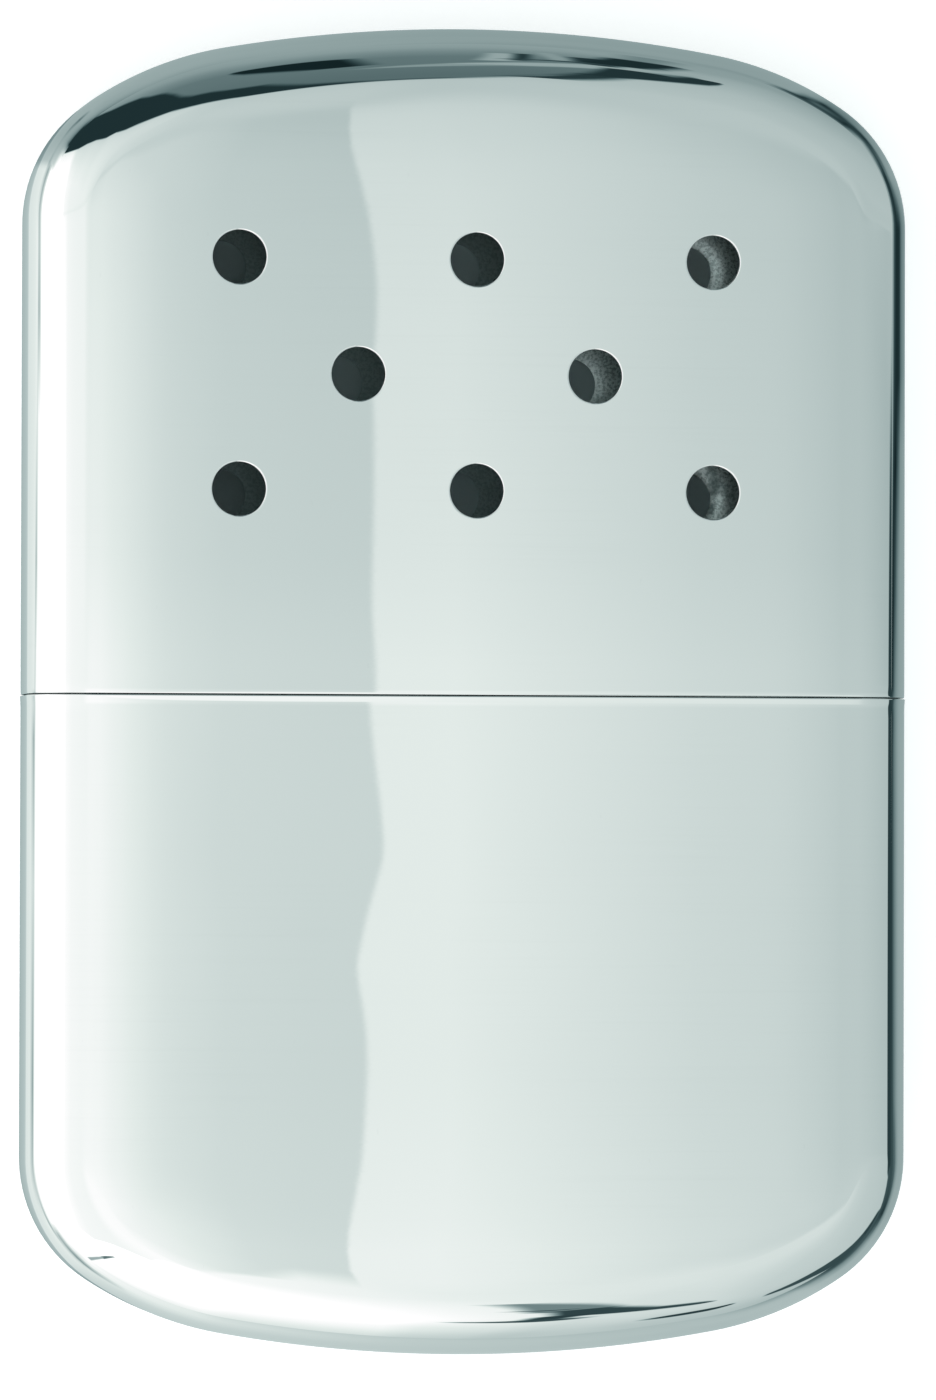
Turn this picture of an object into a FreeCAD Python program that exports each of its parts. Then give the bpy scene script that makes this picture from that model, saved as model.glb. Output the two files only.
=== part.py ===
# Catalytic hand warmer that burns lighter fuel without a flame. It lies on its back: X is its
# width, +Y points out of the lid's closed end, +Z points out of its front face. The origin is
# at the centre of the back, on the surface that it lies on. All lengths are millimetres.
import FreeCAD, Part
import math
import os
import Sketcher
from FreeCAD import Placement, Rotation, Vector

SIZES = [
    # the whole pebble, lid and tank together
    ("overall_width", 66.2),
    ("overall_length", 99.0),
    ("overall_thickness", 13.0),
    ("edge_radius", 4.2),          # rounding between the faces and the narrow sides
    ("crown_radius", 105.0),       # flat arc across each end
    ("crown_half_width", 18.5),    # from the middle to where that arc stops
    ("shoulder_radius", 25.6),     # arc between the flat arc and the corner
    ("corner_radius", 10.9),
    ("tank_length", 49.0),         # from the tank's end to its rim
    ("rim_gap", 0.15),             # seam between the two rims
    ("rim_radius", 0.3),           # rounding of the two rims
    ("shell_wall", 0.5),
    # vents through the front and the back of the lid
    ("vent_radius", 2.0),
    ("vent_roll", 0.2),            # rolled edge that the punch leaves
    ("vent_pitch_x", 17.8),        # between neighbours in a row
    ("vent_pitch_y", 8.6),         # between rows
    ("vent_field_y", 23.4),        # the middle row, above mid-length
    # drawn cap that closes the tank and carries the lid
    ("fit_gap", 0.15),             # between the cap's collar and both shells
    ("collar_wall", 0.4),
    ("collar_height", 4.0),        # above the tank's rim
    ("collar_depth", 8.0),         # below the tank's rim
    ("deck_radius", 1.1),
    ("dimple_radius", 1.5),
    ("dimple_height", 0.08),
    ("dimple_x", 19.0),
    ("dimple_y", 2.0),             # above the tank's rim
    ("solder_height", 0.9),
    ("solder_gap", 0.06),
    # filler neck, oblong, with the wick in its mouth
    ("neck_width", 26.0),
    ("neck_thickness", 7.6),
    ("neck_wall", 0.5),
    ("neck_height", 3.5),
    ("neck_lip", 0.18),
    ("neck_gap", 0.06),            # between the neck and the hole in the deck
    ("flange_width", 0.85),
    ("flange_thickness", 0.5),
    ("grate_thickness", 0.4),
    ("grate_depth", 0.6),          # below the neck's mouth
    ("grate_gap", 0.05),
    ("grate_slot_width", 1.2),
    ("grate_slot_length", 4.0),
    ("grate_slot_count", 7),
    ("grate_slot_pitch", 2.9),
    ("felt_gap", 0.1),
    # cotton in the tank
    ("cotton_gap", 0.2),
    ("cotton_columns", 2),
    ("cotton_rows", 3),
    # burner, which slides off the neck
    ("burner_gap", 0.12),          # between its socket and the neck
    ("seat_gap", 0.1),             # between its ledge and the neck's mouth
    ("deck_gap", 0.3),             # between its skirt and the deck
    ("socket_wall", 0.3),
    ("ledge_width", 1.3),
    ("weld_gap", 0.04),            # between the socket and the housing
    ("housing_wall", 0.4),
    ("cage_height", 4.9),          # above the socket
    ("cage_round", 0.6),
    ("window_count", 7),
    ("window_pitch", 2.9),
    ("window_width", 2.0),
    ("window_height", 2.8),
    ("end_window_width", 3.4),
    ("grille_count", 9),
    ("grille_pitch", 2.3),
    ("grille_width", 1.0),
    ("grille_length", 4.6),
    ("screen_thickness", 0.25),
    ("screen_gap", 0.06),
    ("screen_hole_radius", 0.5),
    ("screen_hole_pitch", 2.0),
    ("screen_columns", 9),
    ("screen_rows", 3),
    ("mesh_thickness", 0.22),
    ("mesh_gap", 0.08),
    ("mat_gap", 0.12),
    ("mat_round", 0.7),
    ("rivet_radius", 0.45),
    ("rivet_gap", 0.03),
    ("rivet_head_radius", 0.85),
    ("rivet_head_height", 0.25),
    ("rivet_x", 8.2),
    ("rivet_y", 1.6),              # above the skirt
]

doc = FreeCAD.newDocument("HandWarmer")
sheet = doc.addObject("Spreadsheet::Sheet", "Sizes")
for row, (alias, value) in enumerate(SIZES, start=1):
    sheet.set("A%d" % row, alias)
    sheet.set("B%d" % row, str(value))
    sheet.setAlias("B%d" % row, alias)
doc.recompute()

# Places and sizes that follow from the sheet, written once as expressions on its cells.
MID_Z = "(Sizes.overall_thickness / 2)"
TANK_RIM_Y = "(Sizes.tank_length - Sizes.overall_length / 2)"
LID_RIM_Y = "(%s + Sizes.rim_gap)" % TANK_RIM_Y
COLLAR_FOOT_Y = "(%s - Sizes.collar_depth)" % TANK_RIM_Y
DECK_Y = "(%s + Sizes.collar_height)" % TANK_RIM_Y
MOUTH_Y = "(%s + Sizes.neck_height)" % DECK_Y
FLANGE_Y = "(%s - Sizes.collar_wall)" % DECK_Y
NECK_FOOT_Y = "(%s - Sizes.flange_thickness)" % FLANGE_Y
GRATE_Y = "(%s - Sizes.grate_depth)" % MOUTH_Y
FELT_Y = "(%s - Sizes.grate_thickness - Sizes.felt_gap)" % GRATE_Y
COLLAR_INSET = "(Sizes.shell_wall + Sizes.fit_gap)"
CAVITY_INSET = "(%s + Sizes.collar_wall)" % COLLAR_INSET
COTTON_INSET = "(%s + Sizes.cotton_gap)" % CAVITY_INSET
COTTON_TOP_Y = "(%s - Sizes.cotton_gap)" % NECK_FOOT_Y
COTTON_FOOT_Y = "(%s - Sizes.overall_length / 2)" % COTTON_INSET
SKIRT_Y = "(%s + Sizes.deck_gap)" % DECK_Y
LEDGE_Y = "(%s + Sizes.seat_gap)" % MOUTH_Y
FLOOR_Y = "(%s + Sizes.socket_wall)" % LEDGE_Y
ROOF_Y = "(%s + Sizes.cage_height)" % FLOOR_Y
CEILING_Y = "(%s - Sizes.housing_wall)" % ROOF_Y
SCREEN_Y = "(%s + Sizes.screen_gap)" % FLOOR_Y
SCREEN_TOP_Y = "(%s + Sizes.screen_thickness)" % SCREEN_Y
MESH_TOP_Y = "(%s - Sizes.mesh_gap)" % CEILING_Y
# how far each layer round the neck stands out from the neck's own outside
SOCKET_OUT = "(Sizes.burner_gap + Sizes.socket_wall)"
HOUSING_IN = "(%s + Sizes.weld_gap)" % SOCKET_OUT
HOUSING_OUT = "(%s + Sizes.housing_wall)" % HOUSING_IN
MESH_OUT = "(%s - Sizes.mesh_gap)" % HOUSING_IN
MESH_IN = "(%s - Sizes.mesh_thickness)" % MESH_OUT
THROUGH = "4 * Sizes.overall_width"    # a cut that long leaves nothing in its way
TOLERANCE = 1e-4


def value(expression):
    """The number that an expression on the sheet's cells gives now."""
    return float(doc.getObject("Sizes").evalExpression(expression))


# ---------------------------------------------------------------- sketches and features


def new_body(label):
    body = doc.addObject("PartDesign::Body", label)
    body.Label = label
    return body


def new_sketch(body, name, role, offset="0"):
    """A sketch on one of the body's own origin planes, moved along the plane's normal."""
    sketch = body.newObject("Sketcher::SketchObject", name)
    plane = [p for p in body.Origin.OriginFeatures if p.Role == role][0]
    sketch.AttachmentSupport = [(plane, "")]
    sketch.MapMode = "FlatFace"
    sketch.setExpression("AttachmentOffset.Base.z", offset)
    return sketch


def cross_sketch(body, name, y_expression):
    """A sketch across the length at a height Y: its x is X and its y is Z."""
    return new_sketch(body, name, "XZ_Plane", "-%s" % y_expression)


def bind(sketch, expression, kind, *references):
    """Adds a dimension whose number comes from the sheet."""
    number = value(expression)
    index = sketch.addConstraint(Sketcher.Constraint(kind, *references, number))
    sketch.setExpression("Constraints[%d]" % index, expression)


def add(sketch, kind, *references):
    sketch.addConstraint(Sketcher.Constraint(kind, *references))


def line(sketch, start, end):
    return sketch.addGeometry(Part.LineSegment(Vector(*start, 0), Vector(*end, 0)), False)


def arc(sketch, centre, radius, start, end):
    circle = Part.Circle(Vector(*centre, 0), Vector(0, 0, 1), radius)
    return sketch.addGeometry(Part.ArcOfCircle(circle, start, end), False)


def circle(sketch, x, y, radius):
    """A circle at (x, y) whose place and radius are expressions."""
    centre = Vector(value(x), value(y), 0)
    index = sketch.addGeometry(Part.Circle(centre, Vector(0, 0, 1), value(radius)), False)
    bind(sketch, x, "DistanceX", -1, 1, index, 3)
    bind(sketch, y, "DistanceY", -1, 1, index, 3)
    bind(sketch, radius, "Radius", index)


def stadium(sketch, width, height, y=MID_Z):
    """An oblong with round ends, width across X and height across, centred on X = 0."""
    half, radius, mid = value(width) / 2, value(height) / 2, value(y)
    straight = half - radius
    right = arc(sketch, (straight, mid), radius, -math.pi / 2, math.pi / 2)
    top = line(sketch, (straight, mid + radius), (-straight, mid + radius))
    left = arc(sketch, (-straight, mid), radius, math.pi / 2, 3 * math.pi / 2)
    low = line(sketch, (-straight, mid - radius), (straight, mid - radius))
    for first, second in ((right, top), (top, left), (left, low), (low, right)):
        add(sketch, "Tangent", first, 2, second, 1)
    add(sketch, "Horizontal", low)
    add(sketch, "Symmetric", right, 3, left, 3, -2)
    bind(sketch, "(%s) / 2" % height, "Radius", right)
    bind(sketch, "(%s) - (%s)" % (width, height), "DistanceX", left, 3, right, 3)
    bind(sketch, y, "DistanceY", -1, 1, right, 3)


def rounded_rectangle(sketch, width, height, radius, y=MID_Z):
    """A rectangle with four equal round corners, centred on X = 0."""
    across, up, corner, mid = value(width) / 2, value(height) / 2, value(radius), value(y)
    inner_x, inner_y = across - corner, up - corner
    quarter = math.pi / 2
    low = line(sketch, (-inner_x, mid - up), (inner_x, mid - up))
    low_right = arc(sketch, (inner_x, mid - inner_y), corner, -quarter, 0)
    right = line(sketch, (across, mid - inner_y), (across, mid + inner_y))
    top_right = arc(sketch, (inner_x, mid + inner_y), corner, 0, quarter)
    top = line(sketch, (inner_x, mid + up), (-inner_x, mid + up))
    top_left = arc(sketch, (-inner_x, mid + inner_y), corner, quarter, 2 * quarter)
    left = line(sketch, (-across, mid + inner_y), (-across, mid - inner_y))
    low_left = arc(sketch, (-inner_x, mid - inner_y), corner, 2 * quarter, 3 * quarter)
    ring = [low, low_right, right, top_right, top, top_left, left, low_left]
    for first, second in zip(ring, ring[1:] + ring[:1]):
        add(sketch, "Tangent", first, 2, second, 1)
    add(sketch, "Vertical", right)
    add(sketch, "Vertical", left)
    add(sketch, "Horizontal", top)
    for other in (top_right, top_left, low_left):
        add(sketch, "Equal", low_right, other)
    add(sketch, "Symmetric", low_right, 3, low_left, 3, -2)
    bind(sketch, radius, "Radius", low_right)
    bind(sketch, "(%s) - 2 * (%s)" % (width, radius), "DistanceX", low_left, 3, low_right, 3)
    bind(sketch, "(%s) - 2 * (%s)" % (height, radius), "DistanceY", low_right, 3, top_right, 3)
    bind(sketch, "%s - (%s) / 2 + (%s)" % (y, height, radius), "DistanceY", -1, 1, low_right, 3)


def round_the_neck(sketch, out):
    """The neck's oblong, grown all round by an expression, which may be negative."""
    stadium(
        sketch,
        "Sizes.neck_width + 2 * (%s)" % out,
        "Sizes.neck_thickness + 2 * (%s)" % out,
    )


def box_outline(sketch, x, y, width, height):
    """A rectangle centred on (x, y). All four are expressions."""
    centre_x, centre_y = value(x), value(y)
    half_x, half_y = value(width) / 2, value(height) / 2
    low = line(sketch, (centre_x - half_x, centre_y - half_y), (centre_x + half_x, centre_y - half_y))
    right = line(sketch, (centre_x + half_x, centre_y - half_y), (centre_x + half_x, centre_y + half_y))
    top = line(sketch, (centre_x + half_x, centre_y + half_y), (centre_x - half_x, centre_y + half_y))
    left = line(sketch, (centre_x - half_x, centre_y + half_y), (centre_x - half_x, centre_y - half_y))
    for first, second in ((low, right), (right, top), (top, left), (left, low)):
        add(sketch, "Coincident", first, 2, second, 1)
    for level in (low, top):
        add(sketch, "Horizontal", level)
    for upright in (right, left):
        add(sketch, "Vertical", upright)
    bind(sketch, width, "DistanceX", low, 1, low, 2)
    bind(sketch, height, "DistanceY", right, 1, right, 2)
    bind(sketch, "%s - (%s) / 2" % (x, width), "DistanceX", -1, 1, low, 1)
    bind(sketch, "%s - (%s) / 2" % (y, height), "DistanceY", -1, 1, low, 1)


def end_outline(sketch, end, rim_y, inset="0"):
    """Half of the pebble's outline, from a rim at Y round its end at +Y (end 1) or -Y (end -1).

    The end is one flat arc, two shoulder arcs and two corner arcs, each tangent to the next.
    """
    off = value(inset)
    crown = value("Sizes.crown_radius") - off
    shoulder = value("Sizes.shoulder_radius") - off
    corner = value("Sizes.corner_radius") - off
    half_width = value("Sizes.overall_width") / 2 - off
    crown_sine = value("Sizes.crown_half_width / Sizes.crown_radius")
    corner_sine = (half_width - corner - (crown - shoulder) * crown_sine) / (shoulder - corner)
    crown_lean, corner_lean = math.asin(crown_sine), math.asin(corner_sine)
    tip = value("Sizes.overall_length") / 2 - off
    crown_y = tip - crown
    shoulder_x = (crown - shoulder) * crown_sine
    shoulder_y = crown_y + (crown - shoulder) * math.cos(crown_lean)
    corner_x = half_width - corner
    corner_y = shoulder_y + (shoulder - corner) * math.cos(corner_lean)
    rim = value(rim_y) * end
    turn = 0 if end > 0 else math.pi
    quarter = math.pi / 2

    def at(x, y):
        return (x * end, y * end)

    rim_line = line(sketch, at(-half_width, rim), at(half_width, rim))
    right = line(sketch, at(half_width, rim), at(half_width, corner_y))
    corner_right = arc(sketch, at(corner_x, corner_y), corner, turn, turn + quarter - corner_lean)
    shoulder_right = arc(
        sketch, at(shoulder_x, shoulder_y), shoulder,
        turn + quarter - corner_lean, turn + quarter - crown_lean,
    )
    crown_arc = arc(
        sketch, at(0, crown_y), crown, turn + quarter - crown_lean, turn + quarter + crown_lean
    )
    shoulder_left = arc(
        sketch, at(-shoulder_x, shoulder_y), shoulder,
        turn + quarter + crown_lean, turn + quarter + corner_lean,
    )
    corner_left = arc(
        sketch, at(-corner_x, corner_y), corner, turn + quarter + corner_lean, turn + math.pi
    )
    left = line(sketch, at(-half_width, corner_y), at(-half_width, rim))
    ring = [right, corner_right, shoulder_right, crown_arc, shoulder_left, corner_left, left]
    for first, second in zip(ring, ring[1:]):
        add(sketch, "Tangent", first, 2, second, 1)
    add(sketch, "Coincident", rim_line, 2, right, 1)
    add(sketch, "Coincident", left, 2, rim_line, 1)
    add(sketch, "Vertical", right)
    add(sketch, "Vertical", left)
    add(sketch, "Symmetric", rim_line, 1, rim_line, 2, -2)
    add(sketch, "Symmetric", crown_arc, 1, crown_arc, 2, -2)
    add(sketch, "PointOnObject", crown_arc, 3, -2)
    add(sketch, "Equal", corner_right, corner_left)
    add(sketch, "Equal", shoulder_right, shoulder_left)
    bind(sketch, "Sizes.crown_radius - %s" % inset, "Radius", crown_arc)
    bind(sketch, "Sizes.shoulder_radius - %s" % inset, "Radius", shoulder_right)
    bind(sketch, "Sizes.corner_radius - %s" % inset, "Radius", corner_right)
    sides = (rim_line, 1, rim_line, 2) if end > 0 else (rim_line, 2, rim_line, 1)
    bind(sketch, "Sizes.overall_width - 2 * %s" % inset, "DistanceX", *sides)
    bind(sketch, rim_y, "DistanceY", -1, 1, rim_line, 1)
    bind(
        sketch, "%d * (Sizes.overall_length / 2 - Sizes.crown_radius)" % end,
        "DistanceY", -1, 1, crown_arc, 3,
    )
    crown_ends = (crown_arc, 2, crown_arc, 1) if end > 0 else (crown_arc, 1, crown_arc, 2)
    bind(
        sketch,
        "2 * Sizes.crown_half_width * (1 - %s / Sizes.crown_radius)" % inset,
        "DistanceX", *crown_ends,
    )


def pad(body, name, sketch, length, reverse=False):
    feature = body.newObject("PartDesign::Pad", name)
    feature.Profile = sketch
    feature.setExpression("Length", length)
    feature.Reversed = reverse
    doc.recompute()
    return feature


def pocket(body, name, sketch, length, reverse=False, both_ways=False):
    """A cut of that length. It raises if the cut took nothing away."""
    before = body.Shape.Volume
    feature = body.newObject("PartDesign::Pocket", name)
    feature.Profile = sketch
    feature.setExpression("Length", length)
    feature.Reversed = reverse
    feature.Midplane = both_ways
    doc.recompute()
    if not feature.Shape.Volume < before - TOLERANCE:
        raise RuntimeError("%s cuts nothing" % name)
    return feature


def pad_up(body, name, sketch, length):
    """Pads a sketch across the length towards +Y."""
    return pad(body, name, sketch, length, reverse=True)


def pocket_down(body, name, sketch, length):
    """Cuts from a sketch across the length towards -Y."""
    return pocket(body, name, sketch, length, reverse=True)


def row_along_x(body, name, cut, sketch, count, pitch):
    """Repeats a cut on both sides of X = 0. The count is odd, and the cut is the middle one."""
    for side, reverse in (("right", False), ("left", True)):
        pattern = body.newObject("PartDesign::LinearPattern", "%s_%s" % (name, side))
        pattern.Originals = [cut]
        pattern.Direction = (sketch, ["H_Axis"])
        pattern.Reversed = reverse
        pattern.setExpression("Length", "%s * (%s - 1) / 2" % (pitch, count))
        pattern.setExpression("Occurrences", "(%s + 1) / 2" % count)
        body.Tip = pattern
        doc.recompute()


def round_edges(body, name, base, radius, wanted):
    """Fillets each edge of the base feature for which wanted(edge) is true."""
    names = ["Edge%d" % (i + 1) for i, e in enumerate(base.Shape.Edges) if wanted(e)]
    if not names:
        raise RuntimeError("%s found no edge" % name)
    feature = body.newObject("PartDesign::Fillet", name)
    feature.Base = (base, names)
    feature.setExpression("Radius", radius)
    doc.recompute()
    return feature


def hollow(body, name, base, wall, open_side):
    """Leaves a wall of the base feature and opens the face whose outward normal is open_side."""
    names = []
    for i, face in enumerate(base.Shape.Faces):
        flat = isinstance(face.Surface, Part.Plane)
        if flat and (face.normalAt(0, 0) - open_side).Length < TOLERANCE:
            names.append("Face%d" % (i + 1))
    feature = body.newObject("PartDesign::Thickness", name)
    feature.Base = (base, names)
    feature.Reversed = True
    feature.setExpression("Value", wall)
    doc.recompute()
    return feature


def lies_at(edge, axis, place):
    """True if the whole edge has that X, Y or Z."""
    low = getattr(edge.BoundBox, axis + "Min")
    high = getattr(edge.BoundBox, axis + "Max")
    return abs(low - place) < TOLERANCE and abs(high - place) < TOLERANCE


def outline_edges(shape, axis, place):
    """The outside edges of the flat faces at that place along the axis."""
    found = []
    for face in shape.Faces:
        if lies_at(face, axis, place):
            found.extend(face.OuterWire.Edges)
    return found


def among(edges):
    return lambda edge: any(edge.isSame(other) for other in edges)


# ---------------------------------------------------------------- the two shells


def half_shell(label, end, rim_y):
    """One half of the pebble, a thin shell that is open at its rim."""
    body = new_body(label)
    sketch = new_sketch(body, label + "_outline", "XY_Plane")
    end_outline(sketch, end, rim_y)
    block = pad(body, label + "_block", sketch, "Sizes.overall_thickness")
    rim = value(rim_y)
    front = value("Sizes.overall_thickness")

    def bounds_a_face(edge):
        return (lies_at(edge, "Z", 0) or lies_at(edge, "Z", front)) and not lies_at(edge, "Y", rim)

    soft = round_edges(body, label + "_edges", block, "Sizes.edge_radius", bounds_a_face)
    shell = hollow(body, label + "_wall", soft, "Sizes.shell_wall", Vector(0, -end, 0))
    outside = outline_edges(shell.Shape, "Y", rim)
    round_edges(body, label + "_rim", shell, "Sizes.rim_radius", among(outside))
    return body


def make_lid_shell():
    body = half_shell("lid_shell", 1, LID_RIM_Y)
    sketch = new_sketch(body, "vent_field", "XY_Plane")
    for row, columns in ((1, (-1, 0, 1)), (0, (-0.5, 0.5)), (-1, (-1, 0, 1))):
        for column in columns:
            circle(
                sketch,
                "%g * Sizes.vent_pitch_x" % column,
                "Sizes.vent_field_y + %g * Sizes.vent_pitch_y" % row,
                "Sizes.vent_radius",
            )
    # the same punch goes through the front and the back
    punched = pocket(body, "vents", sketch, THROUGH, both_ways=True)
    front = value("Sizes.overall_thickness")
    radius = value("Sizes.vent_radius")

    def is_vent_edge(edge):
        outside = lies_at(edge, "Z", 0) or lies_at(edge, "Z", front)
        return outside and abs(edge.BoundBox.XLength - 2 * radius) < TOLERANCE

    round_edges(body, "vent_rolls", punched, "Sizes.vent_roll", is_vent_edge)
    return body


def make_tank_case():
    return half_shell("tank_case", -1, TANK_RIM_Y)


# ---------------------------------------------------------------- the closed top of the tank


def collar_section(sketch, inset):
    """The shells' section at the rim, drawn in by an inset."""
    rounded_rectangle(
        sketch,
        "Sizes.overall_width - 2 * %s" % inset,
        "Sizes.overall_thickness - 2 * %s" % inset,
        "Sizes.edge_radius - %s" % inset,
    )


def make_tank_cap():
    """Drawn cap: its collar stands in the case and carries the lid, and its deck has the neck."""
    body = new_body("tank_cap")
    sketch = cross_sketch(body, "cap_section", COLLAR_FOOT_Y)
    collar_section(sketch, COLLAR_INSET)
    block = pad_up(body, "cap_block", sketch, "Sizes.collar_depth + Sizes.collar_height")
    deck = value(DECK_Y)
    soft = round_edges(
        body, "deck_edge", block, "Sizes.deck_radius", lambda edge: lies_at(edge, "Y", deck)
    )
    hollow(body, "cap_wall", soft, "Sizes.collar_wall", Vector(0, -1, 0))
    hole = cross_sketch(body, "neck_hole_section", DECK_Y)
    round_the_neck(hole, "Sizes.neck_gap")
    pocket_down(body, "neck_hole", hole, "Sizes.collar_height")
    for side in ("back", "front"):
        grip_dimples(body, side)
    return body


def grip_dimples(body, side):
    """Two low bosses on one face of the collar, on which the lid drags."""
    middle = "(%s + Sizes.collar_wall / 2)" % COLLAR_INSET
    plane = middle if side == "back" else "(Sizes.overall_thickness - %s)" % middle
    sketch = new_sketch(body, side + "_dimple_section", "XY_Plane", plane)
    for column in (-1, 1):
        circle(
            sketch,
            "%d * Sizes.dimple_x" % column,
            "%s + Sizes.dimple_y" % TANK_RIM_Y,
            "Sizes.dimple_radius",
        )
    pad(
        body, side + "_dimples", sketch, "Sizes.collar_wall / 2 + Sizes.dimple_height",
        reverse=side == "back",
    )


def make_solder_ring():
    """Ring of solder under the collar, which closes the tank and holds the cap in the case."""
    body = new_body("solder_ring")
    top = "(%s - Sizes.solder_gap)" % COLLAR_FOOT_Y
    outer = cross_sketch(body, "solder_outside", top)
    collar_section(outer, "(Sizes.shell_wall + Sizes.solder_gap)")
    pad(body, "solder_block", outer, "Sizes.solder_height")
    inner = cross_sketch(body, "solder_inside", top)
    collar_section(inner, CAVITY_INSET)
    pocket_down(body, "solder_hole", inner, THROUGH)
    return body


def make_filler_neck():
    """Oblong tube through the deck, with a flange under it and a rounded lip."""
    body = new_body("filler_neck")
    tube_section = cross_sketch(body, "neck_outside", NECK_FOOT_Y)
    round_the_neck(tube_section, "0")
    pad_up(body, "neck_block", tube_section, "%s - %s" % (MOUTH_Y, NECK_FOOT_Y))
    flange_section = cross_sketch(body, "flange_outside", NECK_FOOT_Y)
    round_the_neck(flange_section, "Sizes.flange_width")
    pad_up(body, "flange", flange_section, "Sizes.flange_thickness")
    bore_section = cross_sketch(body, "neck_inside", MOUTH_Y)
    round_the_neck(bore_section, "-Sizes.neck_wall")
    bored = pocket_down(body, "neck_bore", bore_section, THROUGH)
    mouth = value(MOUTH_Y)
    round_edges(
        body, "neck_lip", bored, "Sizes.neck_lip", lambda edge: lies_at(edge, "Y", mouth)
    )
    return body


def make_wick_grate():
    """Slotted plate that keeps the felt down in the neck's mouth."""
    body = new_body("wick_grate")
    plate = cross_sketch(body, "grate_outside", GRATE_Y)
    round_the_neck(plate, "-Sizes.neck_wall - Sizes.grate_gap")
    pad(body, "grate_plate", plate, "Sizes.grate_thickness")
    slot = cross_sketch(body, "grate_slot_section", GRATE_Y)
    box_outline(slot, "0", MID_Z, "Sizes.grate_slot_width", "Sizes.grate_slot_length")
    cut = pocket_down(body, "grate_slot", slot, THROUGH)
    row_along_x(body, "grate_slots", cut, slot, "Sizes.grate_slot_count", "Sizes.grate_slot_pitch")
    return body


def make_wick_felt():
    """Felt plug that fills the neck below the grate and draws fuel out of the cotton."""
    body = new_body("wick_felt")
    section = cross_sketch(body, "felt_section", FELT_Y)
    round_the_neck(section, "-Sizes.neck_wall - Sizes.felt_gap")
    pad(body, "felt_block", section, "%s - %s" % (FELT_Y, NECK_FOOT_Y))
    return body


def make_cotton_wads():
    """Wads of cotton, in rows and columns, cut out of one block that fills the tank's inside."""
    filling = new_body("cotton_filling")
    sketch = new_sketch(filling, "cotton_outline", "XY_Plane", COTTON_INSET)
    end_outline(sketch, -1, COTTON_TOP_Y, COTTON_INSET)
    block = pad(
        filling, "cotton_block", sketch, "Sizes.overall_thickness - 2 * %s" % COTTON_INSET
    )
    top = value(COTTON_TOP_Y)
    low = value(COTTON_INSET)
    high = value("Sizes.overall_thickness - %s" % COTTON_INSET)
    round_edges(
        filling, "cotton_edges", block, "Sizes.edge_radius - %s" % COTTON_INSET,
        lambda edge: (lies_at(edge, "Z", low) or lies_at(edge, "Z", high))
        and not lies_at(edge, "Y", top),
    )
    columns = int(value("Sizes.cotton_columns"))
    rows = int(value("Sizes.cotton_rows"))
    cell_x = "(Sizes.overall_width / Sizes.cotton_columns)"
    cell_y = "((%s - %s) / Sizes.cotton_rows)" % (COTTON_TOP_Y, COTTON_FOOT_Y)
    wads = []
    for row in range(rows):
        for column in range(columns):
            number = row * columns + column + 1
            cell = doc.addObject("Part::Box", "cotton_cell_%d" % number)
            cell.setExpression("Length", "%s - Sizes.cotton_gap" % cell_x)
            cell.setExpression("Width", "%s - Sizes.cotton_gap" % cell_y)
            cell.setExpression("Height", "Sizes.overall_thickness")
            cell.setExpression(
                "Placement.Base.x",
                "%d * %s - Sizes.overall_width / 2 + Sizes.cotton_gap / 2" % (column, cell_x),
            )
            cell.setExpression(
                "Placement.Base.y",
                "%s + %d * %s + Sizes.cotton_gap / 2" % (COTTON_FOOT_Y, row, cell_y),
            )
            wad = doc.addObject("Part::Common", "cotton_wad_%d" % number)
            wad.Label = "cotton_wad_%d" % number
            wad.Base = filling
            wad.Tool = cell
            wads.append(wad)
    doc.recompute()
    return wads


# ---------------------------------------------------------------- the burner


def rivet_holes(body, name):
    """Clearance holes for the four rivets, through the front and the back wall."""
    sketch = new_sketch(body, name + "_section", "XY_Plane", MID_Z)
    for column in (-1, 1):
        circle(
            sketch,
            "%d * Sizes.rivet_x" % column,
            "%s + Sizes.rivet_y" % SKIRT_Y,
            "Sizes.rivet_radius + Sizes.rivet_gap",
        )
    pocket(body, name, sketch, THROUGH, both_ways=True)


def make_burner_socket():
    """Inner sleeve: it slides over the neck, and its ledge rests just above the mouth."""
    body = new_body("burner_socket")
    outside = cross_sketch(body, "socket_outside", SKIRT_Y)
    round_the_neck(outside, SOCKET_OUT)
    pad_up(body, "socket_block", outside, "%s - %s" % (FLOOR_Y, SKIRT_Y))
    inside = cross_sketch(body, "socket_inside", SKIRT_Y)
    round_the_neck(inside, "Sizes.burner_gap")
    pocket(body, "socket_bore", inside, "%s - %s" % (LEDGE_Y, SKIRT_Y))
    opening = cross_sketch(body, "ledge_opening", FLOOR_Y)
    round_the_neck(opening, "-Sizes.ledge_width")
    pocket_down(body, "ledge", opening, THROUGH)
    rivet_holes(body, "socket_rivet_holes")
    return body


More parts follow.
